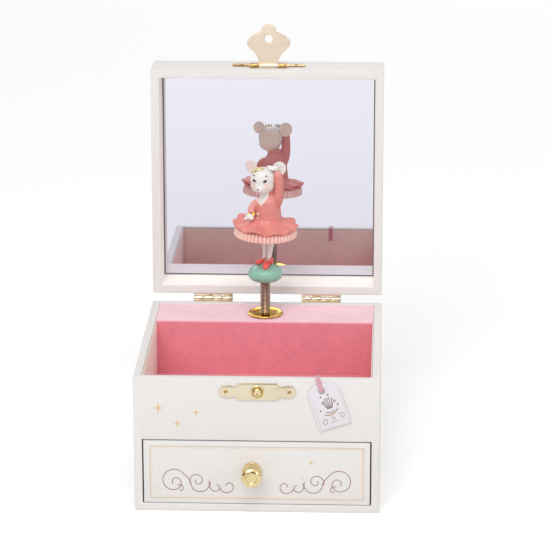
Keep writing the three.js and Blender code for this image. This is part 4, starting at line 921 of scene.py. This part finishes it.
def make_spring():
    low, high = in_mm(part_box("spring_cup"))[:2]
    radius, height = (high.x - low.x) / 2, high.z - low.z
    section = [(out * radius, up * height) for out, up in CUP]
    section = [(CUP_BORE, 0), *section, (CUP_BORE, section[-1][1]), (CUP_BORE, 0)]
    cup = place(turned("spring_dish", section, 72), (AXIS_X, AXIS_Y, low.z))
    finish_piece(cup, "cylinder", BRIGHT_GOLD, "spring_cup")
    spring_low, spring_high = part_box("doll_spring")
    radius = (spring_high.x - spring_low.x) / 2 / MM - WIRE / 2
    start, end = spring_low.z / MM + WIRE / 2, spring_high.z / MM - WIRE / 2
    points = []
    for step in range(TURNS * STEPS + 1):
        angle = 2 * math.pi * step / STEPS
        points.append((radius * math.cos(angle), AXIS_Y + radius * math.sin(angle),
                       start + (end - start) * step / (TURNS * STEPS)))
    coil = strand("doll_coil", [points], WIRE, resolution=2)
    finish_in(coil, SPRING_STEEL)
    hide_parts("doll_spring")
    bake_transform(coil)


# ---------- dancer
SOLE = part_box("dome_base")[1].z / MM


def local(point):
    """A point of the figure, in millimetres from the top of the dome, made a place in the frame."""
    return (point[0], point[1] + AXIS_Y, point[2] + SOLE)


def doll_ball(name, centre, radii, turn=(0, 0, 0), **sizes):
    return ball(name, local(centre), radii, turn, **sizes)


def doll_strand(name, points, radii):
    return strand(name, [[local(point) for point in points]], 2, radii=radii)


def on_doll(finish, *pieces):
    """Gives pieces of the figure their finish."""
    for piece in pieces:
        finish_piece(piece, "doll", finish)


def frill(name, profile, folds, height, lift, flare, lean, finer=16, lobed=False):
    """A turned frill whose rim rises and falls in uneven folds that die out towards its middle.

    Lobed folds are round outside with narrow valleys between them."""
    piece = turned(name, profile, folds * finer)
    radii = [spot[0] for spot in profile]
    inner, outer = min(radii) * MM, max(radii) * MM
    for vertex in piece.data.vertices:
        x, y = vertex.co.x, vertex.co.y
        radius = math.hypot(x, y)
        share = max(0.0, (radius - inner) / (outer - inner)) ** 2
        angle = math.atan2(y, x)
        phase = folds * angle + 0.7 * math.sin(2 * angle + 1)
        wave = 2 * (math.cos(phase / 2) ** 2 + 0.03) ** 0.35 - 1 if lobed else math.cos(phase)
        uneven = 1 + 0.3 * math.sin(3 * angle + 0.7)
        grow = 1 + flare * MM * share * wave * uneven / radius
        vertex.co.x, vertex.co.y = x * grow, y * grow
        vertex.co.z += lift * wave * uneven * MM * share
    return soft(place(outward(piece), local((0, 0, height)), lean))


def make_dome():
    low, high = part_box("dome_base")
    peg_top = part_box("doll_spring")[1].z
    bottom = peg_top / MM + 0.3
    height, radius = high.z / MM - bottom, (high.x - low.x) / 2 / MM
    foot, belly, fullness = radius * 0.57, height * 0.38, 0.86
    profile = [(0, 0), (foot, 0)]
    for step in range(1, 9):
        turn = step / 8 * math.pi / 2
        profile.append((foot + (radius - foot) * math.sin(turn), belly * (1 - math.cos(turn))))
    for step in range(1, 12):
        turn = step / 12 * math.pi / 2
        out, up = math.cos(turn) ** fullness, math.sin(turn) ** fullness
        profile.append((radius * out, belly + (height - belly) * up))
    profile.append((0, height))
    dome = turned("dome_stand", profile, 56)
    place(dome, (0, AXIS_Y, bottom))
    smooth(dome, 80)
    finish_piece(dome, "doll", TEAL, "dome_base")


def make_legs():
    left = doll_strand("leg_left", [(-0.1, 0.3, 17), (-0.3, 0.3, 11), (-0.3, 0.2, 6), (-0.7, 0, 2)],
                       [1.6, 1.3, 0.95, 0.7])
    right = doll_strand("leg_right", [(2.7, -0.4, 17), (2.6, -0.6, 11), (2.2, -1.0, 6), (1.6, -2.0, 2.2)],
                        [2.0, 1.75, 1.2, 0.8])
    on_doll(CREAM, left, right)
    shoes = [
        doll_ball("shoe_left", (-2.4, -0.3, 1.3), (2.3, 1.25, 1.3), (0, -20, 8)),
        doll_ball("shoe_right", (0.6, -3.8, 0.7), (1.6, 2.7, 1.35), (28, 0, -10)),
        doll_ball("shoe_heel", (2.7, -1.1, 1.9), (1.2, 1.3, 1.9), (0, 12, 0)),
    ]
    for index, points in enumerate([
            [(-1.6, -0.8, 2.0), (-0.8, -1.0, 2.9), (0.1, -0.4, 3.2), (-0.2, 0.9, 3.2)],
            [(0.6, -3.6, 2.2), (1.6, -2.9, 3.2), (2.9, -1.8, 3.6), (2.6, -0.2, 3.4)]]):
        shoes.append(doll_strand(f"shoe_strap_{index + 1}", points, [0.26] * len(points)))
    on_doll(SHOE_RED, *shoes)


PLEATS = 48


def pleat_shade_paint(w, colour):
    """Painted shade: darker pink in the bottoms of the petticoat's pleats, where shade falls."""
    spot = w.place()
    angle = w.math("ARCTAN2", w.minus(w.part(spot, 1), DOLL_AXIS.y), w.part(spot, 0))
    drift = w.math("SINE", w.plus(w.times(angle, 2.0), 1.0))
    phase = w.plus(w.times(angle, float(PLEATS)), w.times(drift, 0.7))
    # painted shade in the grooves between the pleats
    groove_shade = w.ramp(w.math("COSINE", phase), -0.9, 0.3, 0.6, 0.0)
    return w.mix(groove_shade, colour, srgb(236, 174, 162))


def make_skirts():
    petticoat = frill("petticoat", [
        (2, 3.2), (7, 1.9), (11.4, 0.7), (13.4, 0.1), (14.1, 0.1), (14.3, 0.5), (14.2, 1.6), (14.0, 2.8),
        (13.4, 3.8), (11.4, 4.6), (7, 5.6), (2, 6), (2, 3.2),
    ], PLEATS, 14.2, 0.08, 0.55, (0, 2, 0), 10)
    on_doll(painted("pleated pink paint with painted groove shade", (250, 214, 203), 0.45, paint=pleat_shade_paint), petticoat)
    skirt = frill("skirt", [
        (2, -0.6), (8, -0.9), (11.5, -1.05), (13.4, -1.1), (14.4, -0.95), (14.7, -0.6), (14.7, -0.3),
        (14.4, 0), (13.4, 0.4), (11.6, 0.9), (9.6, 1.5), (8, 2.2), (7, 3), (6.4, 3.9), (2, 4.3), (2, -0.6),
    ], 10, 19.5, 1.2, 0.8, (3, 4, 0), lobed=True)
    on_doll(CORAL, skirt)


NECK_TIP = (-1.9, 29.8 + SOLE)  # where the open neck of the dress ends, across and up
NECK_SLOPE = 1.15


def bodice_paint(w, colour):
    """The dress is open in a V that shows the fur, with a paler edge, and has a painted highlight where it
    faces up.
    """
    spot = w.place()
    aside = w.math("ABSOLUTE", w.minus(w.part(spot, 0), NECK_TIP[0] * MM))
    above = w.minus(w.minus(w.part(spot, 2), NECK_TIP[1] * MM), w.times(aside, NECK_SLOPE))
    front = w.times(w.math("LESS_THAN", w.part(spot, 1), DOLL_AXIS.y - 1 * MM),
                    w.math("LESS_THAN", aside, 3.7 * MM))
    edge = w.times(w.ramp(above, -0.75 * MM, -0.45 * MM), front)
    open_part = w.times(w.ramp(above, -0.1 * MM, 0.15 * MM), front)
    # painted highlight where the dress faces up
    colour = top_highlight_paint(srgb(240, 184, 176), 0.6)(w, colour)
    return w.mix(open_part, w.mix(edge, colour, srgb(246, 186, 178)), srgb(*FUR))


HANDS = {
    "hand_raised": [((4.9, -2.0, 47.4), (1.5, 1.2, 1.3)), ((3.0, -2.0, 48.0), (2.3, 0.9, 0.75), (0, 8, 0)),
                    ((3.2, -3.0, 47.2), (1.7, 0.7, 0.6), (0, 6, 0))],
    "hand_lowered": [((-7.0, -5.8, 25.1), (1.9, 1.7, 1.4), (0, 0, 20)),
                     ((-8.4, -6.5, 24.4), (1.4, 0.75, 0.7), (0, -20, 20)),
                     ((-6.1, -7.0, 24.4), (1.1, 0.8, 0.7))],
}


def make_body():
    dress = painted("bodice paint with painted highlight", (217, 134, 126), 0.4, coat=DRESS_COAT, Pooling=0.25, paint=bodice_paint)
    torso = turned("torso", [(0, 20), (6.4, 20), (6, 24), (5.6, 28), (5, 31), (4, 32.8), (3.3, 34.2),
                             (3.1, 36.4), (0, 36.8)], 32)
    place(torso, local((1.2, 0.1, 0)), stretch=(1.08, 0.84, 1))
    raised = doll_strand("raised", [(3.8, -0.2, 27.5), (5.8, -1.1, 31), (6.6, -1.9, 36), (6.5, -2.3, 41),
                                    (6.1, -2.5, 44.2), (5.6, -2.6, 46.2)], [2.3, 2.4, 2.3, 2.25, 2.2, 1.3])
    lowered = doll_strand("lowered", [(-1.8, -0.6, 30.6), (-4.7, -1.4, 29.5), (-6.1, -2.6, 27.6),
                                      (-6.3, -4.4, 26)], [2, 2.2, 1.9, 1.6])
    on_doll(dress, fused("bodice", torso, raised, lowered, voxel=0.25, rounds=10))
    for name, balls in HANDS.items():
        parts = [doll_ball(f"{name}_part", *shape) for shape in balls]
        on_doll(CREAM, fused(name, *parts, voxel=0.22, rounds=4))
    on_doll(BRIGHT_GOLD, ring("bracelet", local((-6.4, -4.6, 25.8)), (60, 0, -12), 1.3, 0.6, 12))
    for index, spot in enumerate([(-3.3, -3.6, 25.7), (-3.4, -3.7, 23.4)]):
        on_doll(CREAM, doll_ball(f"button_{index + 1}", spot, (0.55, 0.45, 0.55), segments=16, rings=10))


HEAD = Vector((-1, -1, 41.2))
FACE_TURN = -14


def face(point):
    """A point on the turned head, from its centre, as a point of the figure."""
    return HEAD + Matrix.Rotation(math.radians(FACE_TURN), 3, "Z") @ Vector(point)


def fur_and_back_shade_paint(w, colour):
    """Rosy cheeks on the fur, and a painted shade that makes the fur a warmer beige on its back, where it is
    lit less.
    """
    # painted shade: faces that point back turn a warmer beige
    behind = w.ramp(w.facing(1), 0.0, 0.8)
    colour = w.mix(behind, colour, srgb(240, 222, 202))
    for side in (-1, 1):
        cheek = Vector(local(face((3.3 * side, -4.2, -1.6)))) * MM
        away = w.vector("LENGTH", w.vector("SUBTRACT", w.place(), tuple(cheek)))
        flush = w.ramp(away, 0.8 * MM, 2.4 * MM, 0.5, 0.0)
        colour = w.mix(flush, colour, srgb(238, 178, 172))
    return colour


BROW = [(2.5, -4.75, 3.4), (3.1, -4.5, 3.6), (3.6, -4.15, 3.5)]
TIARA = [(-6.1, -2.1, 44.9), (-4.8, -3.1, 46.1), (-3.5, -3.5, 46.8), (-2.0, -3.6, 47.2), (-0.4, -3.4, 47.4)]
TIARA_BEADS = [(-5.8, -2.4, 45.7, 0.6), (-4.7, -3.1, 46.9, 0.75), (-3.4, -3.5, 47.6, 0.85),
               (-2.0, -3.6, 47.9, 0.7), (-0.7, -3.4, 47.9, 0.55)]


def make_ear(name, centre, radii, turn, fur, hollow_finish):
    """An ear that is dished in front, with its own finish in the hollow."""
    ear = doll_ball(name, centre, radii, turn)
    for vertex in ear.data.vertices:
        offset = vertex.co - Vector(local(centre)) * MM
        if offset.y < 0:
            reach = min(1.0, math.hypot(offset.x, offset.z) / (radii[0] * MM))
            vertex.co.y += (1 - reach ** 2) * 0.9 * MM
    on_doll(fur, ear)
    repaint(ear, hollow_finish, lambda spot, normal: normal.y < -0.25)


def make_head():
    fur = painted("fur paint with painted back shade", FUR, 0.42, FUR_BUMP, paint=fur_and_back_shade_paint, **SPECKLED)
    turn = (0, 0, FACE_TURN)
    on_doll(fur, fused(
        "head",
        doll_ball("skull", face((0, 0.1, 0.9)), (5.95, 5.7, 5.6)),
        doll_ball("cheeks", face((0, -0.9, -2.0)), (5.6, 4.7, 4.0), turn),
        doll_ball("muzzle", face((-0.3, -5.0, -3.0)), (2.0, 2.0, 1.6), turn),
        doll_ball("chin", face((0, -3.3, -4.1)), (2.6, 2.2, 1.6), turn),
        doll_strand("neck", [(-0.2, 0, 31), (-0.5, -0.4, 37)], [2.2, 2.2]),
        voxel=0.24, rounds=12))
    nose = doll_ball("nose", face((-0.4, -6.85, -2.6)), (0.62, 0.45, 0.45), segments=20, rings=12)
    smile = [face((-1.3, -6.2, -3.9)), face((-0.35, -6.6, -4.1)), face((0.6, -6.25, -3.9))]
    on_doll(NOSE_PINK, nose, doll_strand("mouth", smile, [0.1, 0.13, 0.1]))
    for index, side in enumerate((-1, 1)):
        on_doll(DARK_PAINT, doll_ball(f"eye_{index + 1}", face((2.6 * side, -5.15, 1.1)), (1.05, 0.35, 0.52),
                                      (0, -24 * side, FACE_TURN + 24 * side), segments=20, rings=12))
        brow = [face((x * side, y, z)) for x, y, z in BROW]
        on_doll(DARK_PAINT, doll_strand(f"brow_{index + 1}", brow, [0.12, 0.2, 0.12]))
    make_ear("ear_1", (-6.6, 0.8, 47.5), (2.8, 0.9, 3.1), (0, -18, -14), fur, EAR_PINK)
    make_ear("ear_2", (6.5, 0.6, 46.4), (3.3, 1.0, 3.6), (0, 20, 8), fur, fur)
    on_doll(GOLD, doll_strand("tiara_band", TIARA, [0.3, 0.5, 0.55, 0.5, 0.3]))
    for index, (x, y, z, half) in enumerate(TIARA_BEADS):
        on_doll(GOLD, doll_ball(f"tiara_bead_{index + 1}", (x, y, z), (0.5, 0.42, half), (0, 8 * (x + 3), 0),
                                segments=16, rings=10))


def make_dancer():
    make_dome()
    make_legs()
    make_skirts()
    make_body()
    make_head()
    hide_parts("dancer")


# ---------- tag and ribbon
TAG_TILT = -18
TAG_DOTS = [(-2.4, 5.6), (1.0, 5.9), (-4.4, -0.6), (3.9, 0.4)]


def tag_lines():
    """The card's own ornament: a sprig, a swag, curls in the corners and a border, about its middle."""
    sprig = [[(0.3 * reach, -0.6), (0.75 * reach, 2.2), (reach, 4.4 - 0.16 * reach ** 2)]
             for reach in (-3.2, -2.1, -1, 0, 1, 2.1, 3.2)]
    leaves = [[(reach, top), (reach + 0.5, top + 0.6), (reach + 0.2, top + 1.1)]
              for reach, top in ((-2.6, 2.2), (-1.2, 3.6), (0.4, 3.9), (1.8, 3), (2.9, 1.8))]
    swag = [[(-3.3, -2.8), (-1.2, -3.6), (1.4, -3.1), (3.4, -1.4)],
            [(-2.1, -2.0), (0, -2.5), (1.8, -1.9)]]
    curls = [curl((-3.8, -6.4), 1.5, 0.4, 30, 400), curl((4.1, -5.2), 1.5, 0.4, 150, -400),
             [(-1.6, -7.6), (0.2, -6.9), (2.0, -7.3)], curl((0.4, -5.3), 0.9, 0.3, 90, 300)]
    side, foot, head, corner = 6.5, -9.6, 9.6, 3.1
    corners = [(-side, foot), (side, foot), (side, head - corner), (side - corner, head),
               (corner - side, head), (-side, head - corner), (-side, foot)]
    return sprig + leaves, swag, curls, chain(corners)


def make_tag():
    finish_piece(dressed("gift_tag", "hang_tag", 0.1), "tag", CARD)
    low, _, middle = in_mm(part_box("hang_tag"))
    finishes = (("tag_sprig", 0.32, TAG_BRONZE), ("tag_swag", 0.55, TAG_GOLD),
                ("tag_curls", 0.32, TAG_ROSE), ("tag_border", 0.14, BORDER_INK))
    for lines, (name, width, finish) in zip(tag_lines(), finishes):
        printed(name, lines, width, low.y, finish, "tag", (middle.x, middle.z), TAG_TILT)
    turn = math.radians(-TAG_TILT)
    for index, (x, z) in enumerate(TAG_DOTS):
        dot = turned(f"tag_dot_{index + 1}", [(0, -0.05), (0.42, -0.05), (0.42, 0.02), (0, 0.02)], 20)
        across = x * math.cos(turn) - z * math.sin(turn)
        up = x * math.sin(turn) + z * math.cos(turn)
        place(dot, (middle.x + across, low.y, middle.z + up), (90, 0, 0))
        finish_piece(dot, "tag", TAG_BRONZE)
    ribbon = dressed("tag_ribbon", "ribbon", 0.06)
    finish_in(ribbon, SATIN)
    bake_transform(ribbon)


# ---------- studio
WORLD_LIGHT = 0.58
FLOOR_GLOW = 0.28
REFLECTED_GLOW = 0.2
AIM = (0, 0, 0.08)


def reflected_card(name, spot, turn, size, shade):
    """A dark card that only reflections see, so that polished metal has something to show."""
    clear()
    bpy.ops.mesh.primitive_plane_add(size=1, location=spot, rotation=[math.radians(angle) for angle in turn])
    card = bpy.context.object
    card.scale = (*size, 1)
    card = settle(card, name)
    made = bpy.data.materials.new(name)
    made.use_nodes = True
    made.node_tree.nodes["Principled BSDF"].inputs["Base Color"].default_value = (shade, shade, shade, 1)
    card.data.materials.append(made)
    for rays in ("camera", "diffuse", "shadow", "transmission"):
        setattr(card, f"visible_{rays}", False)


def seen_rays(w):
    """Whether a ray comes from the camera, and whether it was reflected or let through."""
    path = w.node("ShaderNodeLightPath").outputs
    return path["Is Camera Ray"], w.math("MAXIMUM", path["Is Glossy Ray"], path["Is Transmission Ray"])


def make_floor():
    clear()
    bpy.ops.mesh.primitive_plane_add(size=12)
    floor = settle(bpy.context.object, "studio_floor")
    made = bpy.data.materials.new("studio white")
    made.use_nodes = True
    made.node_tree.nodes.clear()
    w = Wiring(made.node_tree)
    seen, reflected = seen_rays(w)
    strength = w.plus(w.times(seen, FLOOR_GLOW), w.times(reflected, REFLECTED_GLOW))
    plain = w.node("ShaderNodeBsdfDiffuse", {"Color": (0.8, 0.8, 0.8, 1)})
    glow = w.node("ShaderNodeEmission", {"Color": WHITE, "Strength": strength})
    shown = w.node("ShaderNodeAddShader", {0: plain.outputs[0], 1: glow.outputs[0]})
    w.node("ShaderNodeOutputMaterial", {0: shown.outputs[0]})
    floor.data.materials.append(made)


def make_world():
    world = bpy.data.worlds.new("studio")
    world.use_nodes = True
    bpy.context.scene.world = world
    w = Wiring(world.node_tree)
    back = world.node_tree.nodes["Background"].inputs
    back["Color"].default_value = WHITE
    w.join(w.ramp(w.math("MAXIMUM", *seen_rays(w)), 0.0, 1.0, WORLD_LIGHT, 1.0), back["Strength"])


def stage():
    make_floor()
    for side, name in ((-1, "studio_flag_left"), (1, "studio_flag_right")):
        reflected_card(name, (0.44 * side, -0.32, 0.2), (90, 0, 54 * side), (0.24, 0.6), 0.02)
    reflected_card("studio_card_behind", (0, -3.2, 1.0), (90, 0, 0), (3.6, 1.5), 0.03)
    reflected_card("studio_card_above", (0, 0.2, 2.4), (0, 0, 0), (2.6, 1.0), 0.12)
    make_world()


def lamp(name, spot, target, size, energy):
    data = bpy.data.lights.new(name, "AREA")
    data.shape = "SQUARE"
    data.size = size
    data.energy = energy
    made = bpy.data.objects.new(name, data)
    made.location = spot
    made.rotation_euler = (Vector(target) - Vector(spot)).to_track_quat("-Z", "Y").to_euler()
    bpy.context.scene.collection.objects.link(made)
    return made


def mirror_bounce():
    """The light that the mirror throws forward, which paths from the lamps seldom find."""
    low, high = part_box("mirror")
    middle = (low + high) / 2
    spot = (middle.x, low.y - 2 * MM, middle.z)
    thrown = lamp("mirror_bounce", spot, (middle.x, low.y - 1, middle.z), high.x - low.x, 0.013)
    thrown.data.color = (1, 0.93, 0.84)
    thrown.data.shape = "RECTANGLE"
    thrown.data.size_y = high.z - low.z
    thrown.visible_camera = False
    thrown.visible_glossy = False


def make_lamps():
    lamp("key", (-0.5, -1.3, 1.1), AIM, 0.9, 7.4)
    lamp("fill", (1.1, -1.2, 0.7), AIM, 1.0, 3.0)
    lamp("top", (0, -0.85, 1.5), AIM, 0.8, 7.6)
    lamp("back", (0.3, 1.7, 0.9), AIM, 1.0, 4)
    mirror_bounce()


make_base()
make_lid()
make_linings()
make_drawer()
make_prints()
make_hinges()
make_clasp()
make_movement()
make_spring()
make_dancer()
make_tag()
stage()
make_lamps()
bpy.context.scene.view_settings.view_transform = "Standard"
